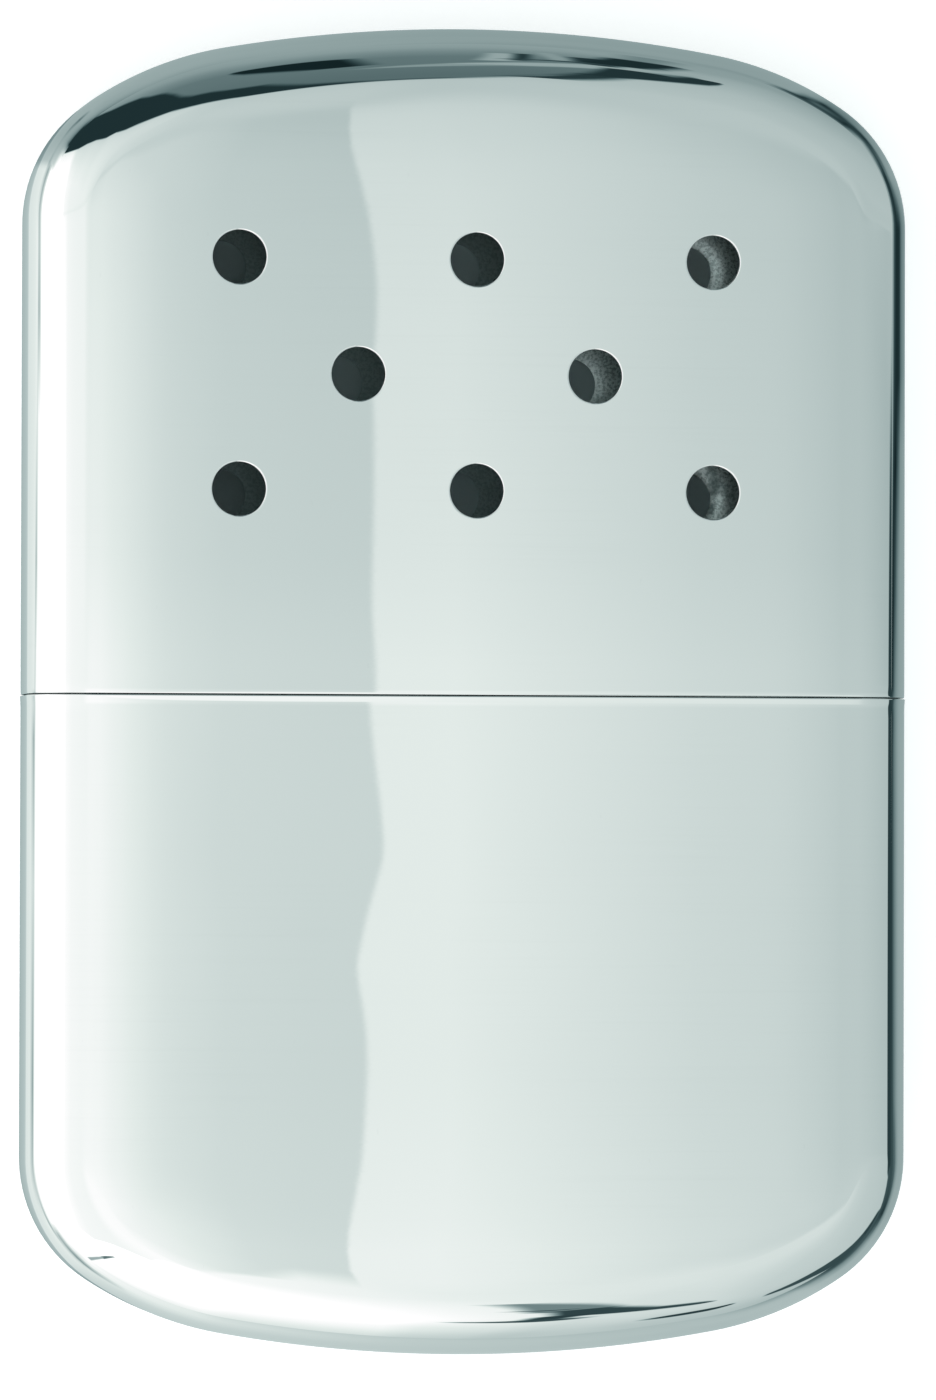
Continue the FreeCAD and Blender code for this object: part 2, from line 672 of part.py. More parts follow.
def make_burner_housing():
    """Outer shell with windows all round and a slotted roof."""
    body = new_body("burner_housing")
    outside = cross_sketch(body, "housing_outside", SKIRT_Y)
    round_the_neck(outside, HOUSING_OUT)
    block = pad_up(body, "housing_block", outside, "%s - %s" % (ROOF_Y, SKIRT_Y))
    roof = value(ROOF_Y)
    round_edges(
        body, "housing_roof", block, "Sizes.cage_round", lambda edge: lies_at(edge, "Y", roof)
    )
    inside = cross_sketch(body, "housing_inside", SKIRT_Y)
    round_the_neck(inside, HOUSING_IN)
    pocket(body, "housing_bore", inside, "%s - %s" % (CEILING_Y, SKIRT_Y))
    rivet_holes(body, "housing_rivet_holes")
    middle = "((%s + %s) / 2)" % (FLOOR_Y, CEILING_Y)
    end_window = new_sketch(body, "end_window_section", "YZ_Plane")
    box_outline(end_window, middle, MID_Z, "Sizes.window_height", "Sizes.end_window_width")
    pocket(body, "end_windows", end_window, THROUGH, both_ways=True)
    window = new_sketch(body, "window_section", "XY_Plane", MID_Z)
    box_outline(window, "0", middle, "Sizes.window_width", "Sizes.window_height")
    cut = pocket(body, "window", window, THROUGH, both_ways=True)
    row_along_x(body, "windows", cut, window, "Sizes.window_count", "Sizes.window_pitch")
    slot = cross_sketch(body, "grille_section", ROOF_Y)
    box_outline(slot, "0", MID_Z, "Sizes.grille_width", "Sizes.grille_length")
    cut = pocket_down(body, "grille_slot", slot, "2 * Sizes.housing_wall")
    row_along_x(body, "grille", cut, slot, "Sizes.grille_count", "Sizes.grille_pitch")
    return body


def make_burner_screen():
    """Perforated plate on the socket's ledge, under the catalyst."""
    body = new_body("burner_screen")
    plate = cross_sketch(body, "screen_outside", SCREEN_Y)
    round_the_neck(plate, "%s - Sizes.screen_gap" % HOUSING_IN)
    pad_up(body, "screen_plate", plate, "Sizes.screen_thickness")
    holes = cross_sketch(body, "screen_hole_field", SCREEN_TOP_Y)
    columns = int(value("Sizes.screen_columns"))
    rows = int(value("Sizes.screen_rows"))
    for row in range(rows):
        for column in range(columns):
            circle(
                holes,
                "%g * Sizes.screen_hole_pitch" % (column - (columns - 1) / 2),
                "%s + %g * Sizes.screen_hole_pitch" % (MID_Z, row - (rows - 1) / 2),
                "Sizes.screen_hole_radius",
            )
    pocket_down(body, "screen_holes", holes, THROUGH)
    return body


def make_burner_mesh():
    """Hood of wire cloth between the catalyst and the housing, modelled as a thin sheet."""
    body = new_body("burner_mesh")
    foot = "(%s + Sizes.mesh_gap)" % SCREEN_TOP_Y
    outside = cross_sketch(body, "mesh_outside", foot)
    round_the_neck(outside, MESH_OUT)
    pad_up(body, "mesh_block", outside, "%s - %s" % (MESH_TOP_Y, foot))
    inside = cross_sketch(body, "mesh_inside", foot)
    round_the_neck(inside, MESH_IN)
    pocket(body, "mesh_hollow", inside, "%s - %s - Sizes.mesh_thickness" % (MESH_TOP_Y, foot))
    return body


def make_catalyst_mat():
    """Pad of platinum-coated glass fibre, on which the fuel vapour burns without a flame."""
    body = new_body("catalyst_mat")
    foot = "(%s + Sizes.mat_gap)" % SCREEN_TOP_Y
    top = "(%s - Sizes.mesh_thickness - Sizes.mat_gap)" % MESH_TOP_Y
    section = cross_sketch(body, "mat_section", foot)
    round_the_neck(section, "%s - Sizes.mat_gap" % MESH_IN)
    block = pad_up(body, "mat_block", section, "%s - %s" % (top, foot))
    ends = (value(foot), value(top))
    round_edges(
        body, "mat_edges", block, "Sizes.mat_round",
        lambda edge: lies_at(edge, "Y", ends[0]) or lies_at(edge, "Y", ends[1]),
    )
    return body


def make_burner_rivets():
    """Four rivets through housing and socket, flush inside so that they pass over the neck."""
    rivets = []
    grip = "(%s - Sizes.burner_gap)" % HOUSING_OUT
    for side, turn in (("front", 0), ("back", 180)):
        outward = 1 if side == "front" else -1
        start = "%s + %d * (Sizes.neck_thickness / 2 + Sizes.burner_gap)" % (MID_Z, outward)
        end = "%s + %d * (Sizes.neck_thickness / 2 + %s)" % (MID_Z, outward, HOUSING_OUT)
        for place, column in (("left", -1), ("right", 1)):
            name = "rivet_%s_%s" % (side, place)
            shank = doc.addObject("Part::Cylinder", name + "_shank")
            shank.setExpression("Radius", "Sizes.rivet_radius")
            shank.setExpression("Height", grip)
            head = doc.addObject("Part::Cone", name + "_head")
            head.setExpression("Radius1", "Sizes.rivet_head_radius")
            head.setExpression("Radius2", "Sizes.rivet_radius")
            head.setExpression("Height", "Sizes.rivet_head_height")
            for piece, height in ((shank, start), (head, end)):
                piece.Placement = Placement(Vector(), Rotation(Vector(1, 0, 0), turn))
                piece.setExpression("Placement.Base.x", "%d * Sizes.rivet_x" % column)
                piece.setExpression("Placement.Base.y", "%s + Sizes.rivet_y" % SKIRT_Y)
                piece.setExpression("Placement.Base.z", height)
            rivet = doc.addObject("Part::MultiFuse", name)
            rivet.Shapes = [shank, head]
            rivets.append(rivet)
    group = doc.addObject("Part::Compound", "burner_rivets")
    group.Label = "burner_rivets"
    group.Links = rivets
    doc.recompute()
    return group


# ---------------------------------------------------------------- build, check and write


def find_faults(pieces):
    faults = []
    for item in doc.Objects:
        if "Invalid" in item.State or "Error" in item.State:
            faults.append("%s is %s" % (item.Name, ", ".join(item.State)))
    for piece in pieces:
        if piece.Shape.isNull() or not piece.Shape.isValid():
            faults.append("%s has no valid shape" % piece.Label)
    return faults


def main():
    pieces = [
        make_lid_shell(),
        make_tank_case(),
        make_tank_cap(),
        make_solder_ring(),
        make_filler_neck(),
        make_wick_grate(),
        make_wick_felt(),
        make_burner_socket(),
        make_burner_housing(),
        make_burner_screen(),
        make_burner_mesh(),
        make_catalyst_mat(),
        make_burner_rivets(),
    ]
    pieces.extend(make_cotton_wads())
    faults = find_faults(pieces)
    if faults:
        raise RuntimeError("; ".join(faults))
    os.makedirs("parts", exist_ok=True)
    for piece in pieces:
        piece.Shape.exportStep("parts/%s.step" % piece.Label)
        print("%-16s %8.1f mm3" % (piece.Label, piece.Shape.Volume))


main()
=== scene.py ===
import random
from math import asin, atan2, cos, degrees, exp, hypot, pi, radians, sin, sqrt

import bpy
import bmesh
from mathutils import Matrix, Vector, noise


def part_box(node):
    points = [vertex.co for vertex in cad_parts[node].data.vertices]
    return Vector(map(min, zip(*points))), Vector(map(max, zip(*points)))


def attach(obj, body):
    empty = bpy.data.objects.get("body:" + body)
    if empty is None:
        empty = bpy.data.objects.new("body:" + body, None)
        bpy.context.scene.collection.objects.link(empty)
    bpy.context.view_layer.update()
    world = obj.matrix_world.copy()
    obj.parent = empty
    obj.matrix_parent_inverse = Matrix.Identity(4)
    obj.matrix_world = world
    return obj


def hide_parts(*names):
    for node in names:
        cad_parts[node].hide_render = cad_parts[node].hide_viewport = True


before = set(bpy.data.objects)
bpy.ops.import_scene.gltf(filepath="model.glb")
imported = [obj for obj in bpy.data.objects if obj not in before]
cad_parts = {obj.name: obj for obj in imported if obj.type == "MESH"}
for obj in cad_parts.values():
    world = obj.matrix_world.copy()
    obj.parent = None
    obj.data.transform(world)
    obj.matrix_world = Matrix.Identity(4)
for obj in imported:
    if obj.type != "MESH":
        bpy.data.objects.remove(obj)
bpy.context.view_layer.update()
mm = 0.001
print("frame loaded:", len(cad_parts), "nodes")


# shader helpers

class Wire:
    # one output socket; plain operators on it add the nodes

    def __init__(self, tree, socket=None):
        self.tree = tree
        self.socket = socket

    def node(self, kind, settings=None, sockets=None, output=0):
        made = self.tree.nodes.new("ShaderNode" + kind)
        for name, value in (settings or {}).items():
            setattr(made, name, value)
        for name, value in (sockets or {}).items():
            target = made.inputs[name]
            if isinstance(value, Wire):
                self.tree.links.new(value.socket, target)
            else:
                target.default_value = value
        return Wire(self.tree, made.outputs[output] if made.outputs else None)

    def isVector(self, other):
        kinds = [w.socket.type for w in (self, other) if isinstance(w, Wire)]
        return "VECTOR" in kinds or hasattr(other, "__len__")

    def mathNode(self, operation, first, second=0.0):
        if self.isVector(first) or self.isVector(second):
            pair = [(v, v, v) if isinstance(v, (int, float)) else v for v in (first, second)]
            return self.node("VectorMath", {"operation": operation}, dict(enumerate(pair)))
        return self.node("Math", {"operation": operation}, {0: first, 1: second})

    def __add__(self, other):
        return self.mathNode("ADD", self, other)

    __radd__ = __add__

    def __sub__(self, other):
        return self.mathNode("SUBTRACT", self, other)

    def __rsub__(self, other):
        return self.mathNode("SUBTRACT", other, self)

    def __mul__(self, other):
        return self.mathNode("MULTIPLY", self, other)

    __rmul__ = __mul__

    def __truediv__(self, other):
        return self.mathNode("DIVIDE", self, other)

    def __rtruediv__(self, other):
        return self.mathNode("DIVIDE", other, self)

    def __pow__(self, other):
        return self.mathNode("POWER", self, other)

    def part(self, letter):
        return self.node("SeparateXYZ", None, {0: self}, letter)

    def rise(self, low, high):
        # 0 below low and 1 above high, smooth between
        return self.node("MapRange", {"interpolation_type": "SMOOTHSTEP"},
                         {"Value": self, "From Min": low, "From Max": high}, "Result")

    def blend(self, first, second):
        # this value picks between two colours
        return self.node("Mix", {"data_type": "RGBA"},
                         {"Factor": self, 6: asColour(first), 7: asColour(second)}, 2)

    def curve(self, stops):
        # straight runs through (place, value) points, level beyond the ends
        total = stops[0][1]
        for (low, first), (high, last) in zip(stops, stops[1:]):
            run = {"Value": self, "From Min": low, "From Max": high, "To Min": 0.0, "To Max": last - first}
            total = total + self.node("MapRange", None, run, "Result")
        return total

    def between(self, first, second):
        # this value leads from one number to another
        return self.node("Mix", {"data_type": "FLOAT"}, {"Factor": self, 2: first, 3: second}, 0)

    def noise(self, scale, detail=3.0, roughness=0.5, output="Fac"):
        sockets = {"Vector": self, "Scale": scale, "Detail": detail, "Roughness": roughness}
        return self.node("TexNoise", None, sockets, output)


def asColour(value):
    return value if isinstance(value, Wire) else (*value, 1)


def newMaterial(name):
    # an empty material and the wire that its nodes start from
    made = bpy.data.materials.new(name)
    made.use_nodes = True
    made.node_tree.nodes.clear()
    return made, Wire(made.node_tree)


def newFinish(name):
    # an empty material and the place on the piece, which its textures hang on
    made, start = newMaterial(name)
    return made, start.node("TexCoord", None, None, "Object")


def surface(place, sockets, bump):
    # the main shader with its sockets, and a bump of (height, distance, strength)
    bump = dict(zip(("Height", "Distance", "Strength"), bump))
    sockets["Normal"] = place.node("Bump", None, bump, "Normal")
    shader = place.node("BsdfPrincipled", None, sockets, "BSDF")
    place.node("OutputMaterial", None, {"Surface": shader})


# finishes

chrome = {
    "colour": (0.806, 0.826, 0.821),
    "rubbed": (0.79, 0.81, 0.805),  # along the polishing marks
    "roughness": 0.004,
    "smudge": 0.003,  # extra roughness in the faint smudges
    "smudgeFrom": (0.45, 0.75),
    "hairPitch": 0.05,  # mm between polishing hairlines
    "hairRuns": (60, 400),  # and how short they are along X and Z
    "hairDepth": 0.00000006,
    "markPitch": 0.42,  # mm between the broader marks
    "markRuns": (40, 300),
    "markFrom": (0.46, 0.8),
    "patchFrom": (0.4, 0.66),  # where the broader marks show at all
    "specks": (2400, 900, 2400),
    "speckFrom": (0.81, 0.85),
}


def makeChrome():
    made, place = newFinish("polishedChrome")
    hairs, marks = [place * (acrossX, 1 / (chrome[pitch] * mm), acrossZ) for pitch, (acrossX, acrossZ) in
                    (("hairPitch", chrome["hairRuns"]), ("markPitch", chrome["markRuns"]))]
    hairs = hairs.noise(1.0, 2.0, 0.6)
    smudge = place.noise(90, 4.0, 0.6).rise(*chrome["smudgeFrom"])
    marks = marks.noise(1.0, 4.0, 0.65).rise(*chrome["markFrom"])
    marks = marks * place.noise(55, 2.0, 0.5).rise(*chrome["patchFrom"])
    specks = (place * chrome["specks"]).noise(1.0, 1.0, 0.4).rise(*chrome["speckFrom"])
    rubbed = marks * 0.8 + smudge * 0.2 + specks * 5
    surface(place, {
        "Base Color": rubbed.blend(chrome["colour"], chrome["rubbed"]),
        "Metallic": 1.0,
        "Roughness": smudge * chrome["smudge"] + chrome["roughness"],
    }, (hairs, chrome["hairDepth"], 0.5))
    return made


bareMetal = {
    "light": (0.74, 0.88, 0.87),
    "dark": (0.25, 0.37, 0.37),
    "litSideFrom": (0.0, 0.017),  # painted light: paler towards +X, where light falling in through the vents brightens the inside
    "mottleFrom": (0.42, 0.56),
    "patchFrom": (0.22, 0.46),
}


def makeBareMetal():
    made, place = newFinish("unpolishedInside")
    mottle = place.noise(4200, 4.0, 0.75).rise(*bareMetal["mottleFrom"])
    # painted light: the inside turns paler towards +X in patches, where the light coming in through the vents
    # falls on it
    litSide = place.part("X").rise(*bareMetal["litSideFrom"])
    litSide = litSide * place.noise(420, 3.0, 0.5).rise(*bareMetal["patchFrom"])
    # the real mottle, mixed with the painted light towards +X
    paleMottleAndLitSide = mottle * 0.2 + litSide * (mottle * 0.7 + 0.3)
    surface(place, {
        "Base Color": paleMottleAndLitSide.blend(bareMetal["dark"], bareMetal["light"]),
        "Metallic": 0.9,
        "Roughness": 0.5 - litSide * 0.18,
    }, (place.noise(3600, 4.0, 0.7), 0.00002, 0.5))
    return made


plated = {
    "colour": (0.66, 0.655, 0.63),
    "worn": (0.5, 0.48, 0.44),
    "drawPitch": 0.09,  # mm between the marks of drawing
    # the colour of the darker band where the halves meet
    "seamDark": (0.11, 0.13, 0.13),
    "seamDarkFrom": (-0.62, -0.54),  # heights in mm of the darker band where the halves meet
    "seamDarkTo": (-0.32, -0.24),
}


def makePlatedSteel():
    made, place = newFinish("platedSteel")
    across = 1 / (plated["drawPitch"] * mm)
    lines = (place * (across, 160, across)).noise(1.0, 2.0, 0.6)
    patches = place.noise(240, 4.0, 0.62).rise(0.5, 0.72)
    height = place.part("Y") / mm
    # darker and rougher in a band where the halves meet
    seamDark = height.rise(*plated["seamDarkFrom"]) - height.rise(*plated["seamDarkTo"])
    surface(place, {
        "Base Color": seamDark.blend(patches.blend(plated["colour"], plated["worn"]), plated["seamDark"]),
        "Metallic": 1.0,
        "Roughness": patches * 0.14 + lines * 0.06 + seamDark * 0.3 + 0.16,
    }, (lines + place.noise(1300, 3.0, 0.6) * 0.6, 0.000006, 0.4))
    return made


def makeSolder():
    made, place = newFinish("dullSolder")
    grain = place.noise(900, 4.0, 0.6)
    film = place.noise(210, 3.0, 0.5).rise(0.42, 0.66)
    surface(place, {
        "Base Color": film.blend((0.52, 0.53, 0.54), (0.36, 0.36, 0.35)),
        "Metallic": 1.0,
        "Roughness": grain * 0.2 + 0.32,
    }, (grain + film * 0.5, 0.00004, 0.5))
    return made


heat = {
    "steel": (0.56, 0.56, 0.55),
    "straw": (0.55, 0.4, 0.2),
    "brown": (0.3, 0.15, 0.09),
    "blue": (0.13, 0.17, 0.29),
    "cool": 5.0,  # height in mm where the tint begins, and where it is full
    "hot": 11.0,
}


def makeBurnerSteel():
    made, place = newFinish("heatTintedSteel")
    height = place.part("Y") / mm + (place.noise(160, 3.0, 0.55) - 0.5) * 5.5
    warm = height.rise(heat["cool"], heat["cool"] + 3.0).blend(heat["steel"], heat["straw"])
    hotter = height.rise(heat["cool"] + 2.2, heat["hot"] - 1.2).blend(warm, heat["brown"])
    tint = height.rise(heat["hot"] - 2.2, heat["hot"] + 1.5).blend(hotter, heat["blue"])
    scale = place.noise(1500, 4.0, 0.62)
    soot = place.noise(420, 4.0, 0.6).rise(0.54, 0.74)
    surface(place, {
        "Base Color": (soot * 0.5).blend(tint, (0.06, 0.055, 0.05)),
        "Metallic": 1.0,
        "Roughness": scale * 0.16 + soot * 0.22 + 0.2,
    }, (scale + soot, 0.00001, 0.4))
    return made


def makeWireFinish():
    made, place = newFinish("annealedWire")
    height = place.part("Y") / mm + (place.noise(220, 3.0, 0.55) - 0.5) * 5.0
    tint = height.rise(7.0, 12.5).blend((0.44, 0.38, 0.3), (0.2, 0.2, 0.25))
    scale = place.noise(5200, 3.0, 0.6)
    surface(place, {
        "Base Color": (scale.rise(0.5, 0.8) * 0.6).blend(tint, (0.09, 0.08, 0.075)),
        "Metallic": 1.0,
        "Roughness": scale * 0.25 + 0.25,
    }, (scale, 0.000006, 0.5))
    return made


fibres = {
    # light and dark colour, pitch and depth of the strands in mm, sheen, roughness
    "catalystFibres": ((0.34, 0.32, 0.3), (0.07, 0.065, 0.06), 0.07, 0.05, 0.1, 0.75),
    "woolFelt": ((0.78, 0.75, 0.68), (0.5, 0.46, 0.38), 0.06, 0.05, 0.35, 0.85),
    "cottonWool": ((0.86, 0.85, 0.82), (0.66, 0.64, 0.6), 0.1, 0.09, 0.4, 0.85),
}


def makeFibres(name):
    # matted fibres: three crossing fields of thin bent strands over soft lumps
    light, dark, pitch, depth, sheen, roughness = fibres[name]
    made, place = newFinish(name)
    bend = place.noise(0.12 / (pitch * mm), output="Color") - (0.5, 0.5, 0.5)
    bent = place + bend * (6 * pitch * mm)
    along = 1 / (pitch * 9 * mm)
    across = 1 / (pitch * mm)
    first, second, third = [(bent * way).noise(1.0, 2.0, 0.6) for way in (
        (along, across, across), (across, along, across), (across, across, along))]
    strands = (first + second + third) / 3
    lumps = place.noise(0.09 / (pitch * mm), 4.0, 0.6)
    surface(place, {
        "Base Color": (strands * 0.7 + lumps * 0.3).rise(0.34, 0.64).blend(dark, light),
        "Roughness": strands * 0.1 + roughness,
        "Sheen Weight": sheen,
        "Sheen Roughness": 0.6,
    }, (strands, depth * mm, 0.7))
    return made


finish = {
    "chrome": makeChrome(),
    "bareMetal": makeBareMetal(),
    "platedSteel": makePlatedSteel(),
    "solder": makeSolder(),
    "burnerSteel": makeBurnerSteel(),
    "wireCloth": makeWireFinish(),
    "glassFibre": makeFibres("catalystFibres"),
    "felt": makeFibres("woolFelt"),
    "cotton": makeFibres("cottonWool"),
}
print("finishes made:", len(finish))


# the two halves of the case

case = {
    "halfWidth": 33.1,
    "tip": 49.5,
    "middle": 6.5,  # half of the thickness
    "crown": 105.0,
    "crownHalf": 18.5,
    "shoulder": 25.6,
    "corner": 10.9,
    "edge": 4.2,  # rounding of the long edges
    "sideHalf": 2.3,  # half of the flat of the side
    "pillow": 0.2,  # how far the faces swell
    "pillowReach": 10.9,
    "wall": 0.5,
    "ring": 6.0,  # from the outline to where the rounding's rows end
    "rimRound": 0.06,
    "swayX": -6.85,  # the faces' slight twist is felt most along this line
    "swayReach": 10.0,
    "swayUnit": 0.0000535,  # lean for one unit of sway
    "ventRadius": 2.0,
    "ventRoll": 0.07,
    "pitchX": 8.9,
    "pitchY": 8.6,
    "fieldY": 23.4,
    "cells": 16,  # divisions of each side of a vent's square
    "turns": 26,  # and of the rounding of an edge
    "ringSteps": (0, 0.6, 1.2),
    "burr": 0.035,  # roughness of the walls of the vents
    "fade": (1.0, 6.0),  # from how far inside the outline the twist sets in, and over what length
    # heights of the rows of points over the rim
    "rimSteps": (0, 0.008, 0.025, 0.05, 0.1, 0.2, 0.35, 0.55, 0.9, 1.5, 2.5, 4.0, 6.0, 8.0),
}

crownSine = case["crownHalf"] / case["crown"]
crownAngle = asin(crownSine)
cornerX = case["halfWidth"] - case["corner"]
shoulderX = (case["crown"] - case["shoulder"]) * crownSine
shoulderAngle = asin((cornerX - shoulderX) / (case["shoulder"] - case["corner"]))
crownY = case["tip"] - case["crown"]
shoulderY = crownY + (case["crown"] - case["shoulder"]) * cos(crownAngle)
cornerY = shoulderY + (case["shoulder"] - case["corner"]) * cos(shoulderAngle)


def outlineRight(along, rim):
    # a point of the right half of the outline and its outward direction, by its way up from the rim
    side = cornerY - rim
    if along <= side:
        return case["halfWidth"], rim + along, 1.0, 0.0
    along -= side
    for radius, centreX, centreY, first, last in (
            (case["corner"], cornerX, cornerY, 0.0, pi / 2 - shoulderAngle),
            (case["shoulder"], shoulderX, shoulderY, pi / 2 - shoulderAngle,
             pi / 2 - crownAngle),
            (case["crown"], 0.0, crownY, pi / 2 - crownAngle, pi / 2 + 0.001)):
        length = radius * (last - first)
        if along <= length:
            break
        along -= length
    angle = first + along / radius
    outX, outY = cos(angle), sin(angle)
    return centreX + radius * outX, centreY + radius * outY, outX, outY


def depthInside(x, y):
    # how far inside the outline a point lies
    x = abs(x)
    found = []
    if y < cornerY:
        found.append(case["halfWidth"] - x)
    crownTurn = atan2(x, y - crownY)
    if crownTurn <= crownAngle:
        found.append(case["crown"] - hypot(x, y - crownY))
    shoulderTurn = atan2(x - shoulderX, y - shoulderY)
    if y > shoulderY and crownAngle < shoulderTurn <= shoulderAngle:
        found.append(case["shoulder"] - hypot(x - shoulderX, y - shoulderY))
    if y >= cornerY and x >= cornerX and atan2(x - cornerX, y - cornerY) > shoulderAngle:
        found.append(case["corner"] - hypot(x - cornerX, y - cornerY))
    return min(found) if found else case["pillowReach"]


def pillow(depth):
    return case["pillow"] * (1 - (1 - min(1.0, depth / case["pillowReach"])) ** 3)


def faceHeight(depth, inset):
    # from the middle plane to the face, where inset is 0 outside and the wall inside
    within = max(0.0, depth - inset)
    across = case["edge"] - inset
    tall = case["edge"] - case["pillow"] - inset
    turn = max(0.0, 1 - within / across)
    return case["sideHalf"] + tall * sqrt(1 - turn * turn) + pillow(depth)


def faded(depth):
    # the share of the twist that is felt at a depth inside the outline
    start, run = case["fade"]
    return min(1.0, max(0.0, depth - start) / run)


class Sheet:
    # one skin of a half case, outer or inner, built of rows of points

    def __init__(self, half, inset):
        self.half = half
        self.inset = inset
        self.rim = half["rim"]
        cells = case["cells"]
        self.lowEdge = case["fieldY"] - 1.5 * case["pitchY"]
        self.highEdge = case["fieldY"] + 1.5 * case["pitchY"]
        self.fieldHalf = 2.5 * case["pitchX"]
        self.across = [self.fieldHalf * (2 * i / (5 * cells) - 1) for i in range(5 * cells + 1)]
        self.rimRows = [self.rim + up for up in case["rimSteps"]]
        # ways along the outline, from the rim to the middle of the crown
        rise = self.lowEdge - self.rim
        cornerRun = cornerY - self.rim + case["corner"] * pi / 4
        halfRun = (cornerY - self.rim + case["corner"] * (pi / 2 - shoulderAngle)
                   + case["shoulder"] * (shoulderAngle - crownAngle) + case["crown"] * crownAngle)
        self.ways = [y - self.rim for y in self.rimRows]
        self.ways += [rise + (cornerRun - rise) * i / (3 * cells) for i in range(3 * cells)]
        steps = 5 * cells // 2
        self.ways += [cornerRun + (halfRun - cornerRun) * i / steps for i in range(steps + 1)]
        # the section of the edge as (depth, height, lean of the surface, side), from front to back
        rounding = [(case["ring"] - back, 1.0) for back in case["ringSteps"]]
        for i in range(case["turns"], -1, -1):
            turn = pi / 2 * i / case["turns"]
            rounding.append((inset + (case["edge"] - inset) * (1 - cos(turn)), sin(turn)))
        front = [(depth, faceHeight(depth, inset), up, 1) for depth, up in rounding]
        front += [(inset, case["sideHalf"] * share, 0.0, 1) for share in (0.6, 0.2)]
        self.section = front + [(depth, -height, up, -1) for depth, height, up, side in reversed(front)]

    def rimDrop(self, y):
        # how far the surface lies inside its own line near the rim
        if self.inset:
            return 0.0
        up = max(0.0, y - self.rim)
        size, reach = self.half["rimTurn"]
        drop = size * max(0.0, 1 - up / reach) ** 2
        if up < case["rimRound"]:
            drop += case["rimRound"] - sqrt(case["rimRound"] ** 2 - (case["rimRound"] - up) ** 2)
        return drop

    def wave(self, x, y):
        lean = 0.0
        for (low, first), (high, last) in zip(self.half["sway"], self.half["sway"][1:]):
            if low <= y <= high:
                lean = first + (last - first) * (y - low) / (high - low)
        off = x - case["swayX"]
        swell = lean * case["swayUnit"] * off * exp(-(off / case["swayReach"]) ** 2)
        return swell - sum(deep * exp(-((x - midX) / reachX) ** 2 - ((y - midY) / reachY) ** 2)
                           for deep, midX, midY, reachX, reachY in self.half["dents"])

    def face(self, x, y, side):
        # a point of the front or back face
        depth = depthInside(x, y)
        height = faceHeight(depth, self.inset) - self.rimDrop(y)
        if self.inset and side == -1:
            for deep, midX, midY, reach in self.half["draws"]:
                off = max(0.0, hypot(x - midX, y - midY) - case["ventRadius"])
                height += deep * max(0.0, 1 - off / reach) ** 2
        return x, y, case["middle"] + side * (height + self.wave(x, y) * faded(depth))

    def edgeColumn(self, way, mirror):
        # the points from the front ring round the edge to the back ring
        x, y, outX, outY = outlineRight(way, self.rim)
        drop = self.rimDrop(y)
        made = []
        for depth, height, up, side in self.section:
            inner = depth + drop * sqrt(max(0.0, 1 - up * up))
            px, py = mirror * (x - outX * inner), y - outY * inner
            swell = side * self.wave(px, py) * faded(depth)
            made.append((px, py, case["middle"] + height - side * drop * up + swell))
        return made


def gridFaces(net, rows, material):
    # joins rows of points with four-sided faces
    start = len(net["points"])
    width = len(rows[0])
    for row in rows:
        net["points"].extend(row)
    for i in range(len(rows) - 1):
        for j in range(width - 1):
            a = start + i * width + j
            net["faces"].append((a, a + 1, a + width + 1, a + width))
            net["materials"].append(material)


def fieldSquares():
    # the middle of each square of the vents' field, and whether a vent goes there
    for column in range(5):
        for row in range(3):
            middleX = (column - 2) * case["pitchX"]
            yield middleX, case["fieldY"] + (row - 1) * case["pitchY"], (column + row) % 2 == 0


def squareRing():
    # the border of a vent's square, from its lower right corner round, with its outward directions
    cells = case["cells"]
    halfX, halfY = case["pitchX"] / 2, case["pitchY"] / 2
    steps = [2 * i / cells - 1 for i in range(cells)]
    right, top = [(1, step) for step in steps], [(-step, 1) for step in steps]
    made = right + top + [(-x, -y) for x, y in right + top] + right[:1]
    made = [(halfX * x, halfY * y) for x, y in made]
    return [(x, y, x / hypot(x, y), y / hypot(x, y)) for x, y in made]


def buildSheet(net, sheet, material):
    cells = case["cells"]
    # the edge all round, from ring to ring
    columns = [sheet.edgeColumn(way, 1) for way in sheet.ways]
    columns += [sheet.edgeColumn(way, -1) for way in reversed(sheet.ways[:-1])]
    gridFaces(net, columns, material)
    for side in (1, -1):
        ring = [column[0 if side == 1 else -1] for column in columns]
        # the same number of points on the border of the vents' field
        border = [(sheet.fieldHalf, y) for y in sheet.rimRows]
        tall = sheet.highEdge - sheet.lowEdge
        border += [(sheet.fieldHalf, sheet.lowEdge + tall * i / (3 * cells)) for i in range(3 * cells)]
        border += [(-x, sheet.highEdge) for x in sheet.across]
        border += [(-x, y) for x, y in reversed(border[:len(sheet.rimRows) + 3 * cells])]
        rows = [[sheet.face(bx + (rx - bx) * share, by + (ry - by) * share, side)
                 for (bx, by), (rx, ry, rz) in zip(border, ring)] for share in (0, 0.2, 0.4, 0.6, 0.8)]
        gridFaces(net, rows + [ring], material)
        # the strip under the vents' field
        heights = sheet.rimRows + [sheet.lowEdge]
        gridFaces(net, [[sheet.face(x, y, side) for x in sheet.across] for y in heights], material)
        # the field itself, one square at a time
        halfX, halfY = case["pitchX"] / 2, case["pitchY"] / 2
        start = case["ventRadius"] + (0 if sheet.inset else case["ventRoll"])
        for middleX, middleY, vented in fieldSquares():
            if sheet.half["vents"] and vented:
                gridFaces(net, [[sheet.face(middleX + outX * start + (x - outX * start) * share,
                                            middleY + outY * start + (y - outY * start) * share, side)
                                 for x, y, outX, outY in squareRing()]
                                for share in (0, 0.02, 0.12, 0.3, 0.55, 0.8, 1)], material)
            else:
                gridFaces(net, [[sheet.face(middleX - halfX + 2 * halfX * i / cells,
                                            middleY - halfY + 2 * halfY * j / cells, side)
                                 for i in range(cells + 1)] for j in range(cells + 1)], material)


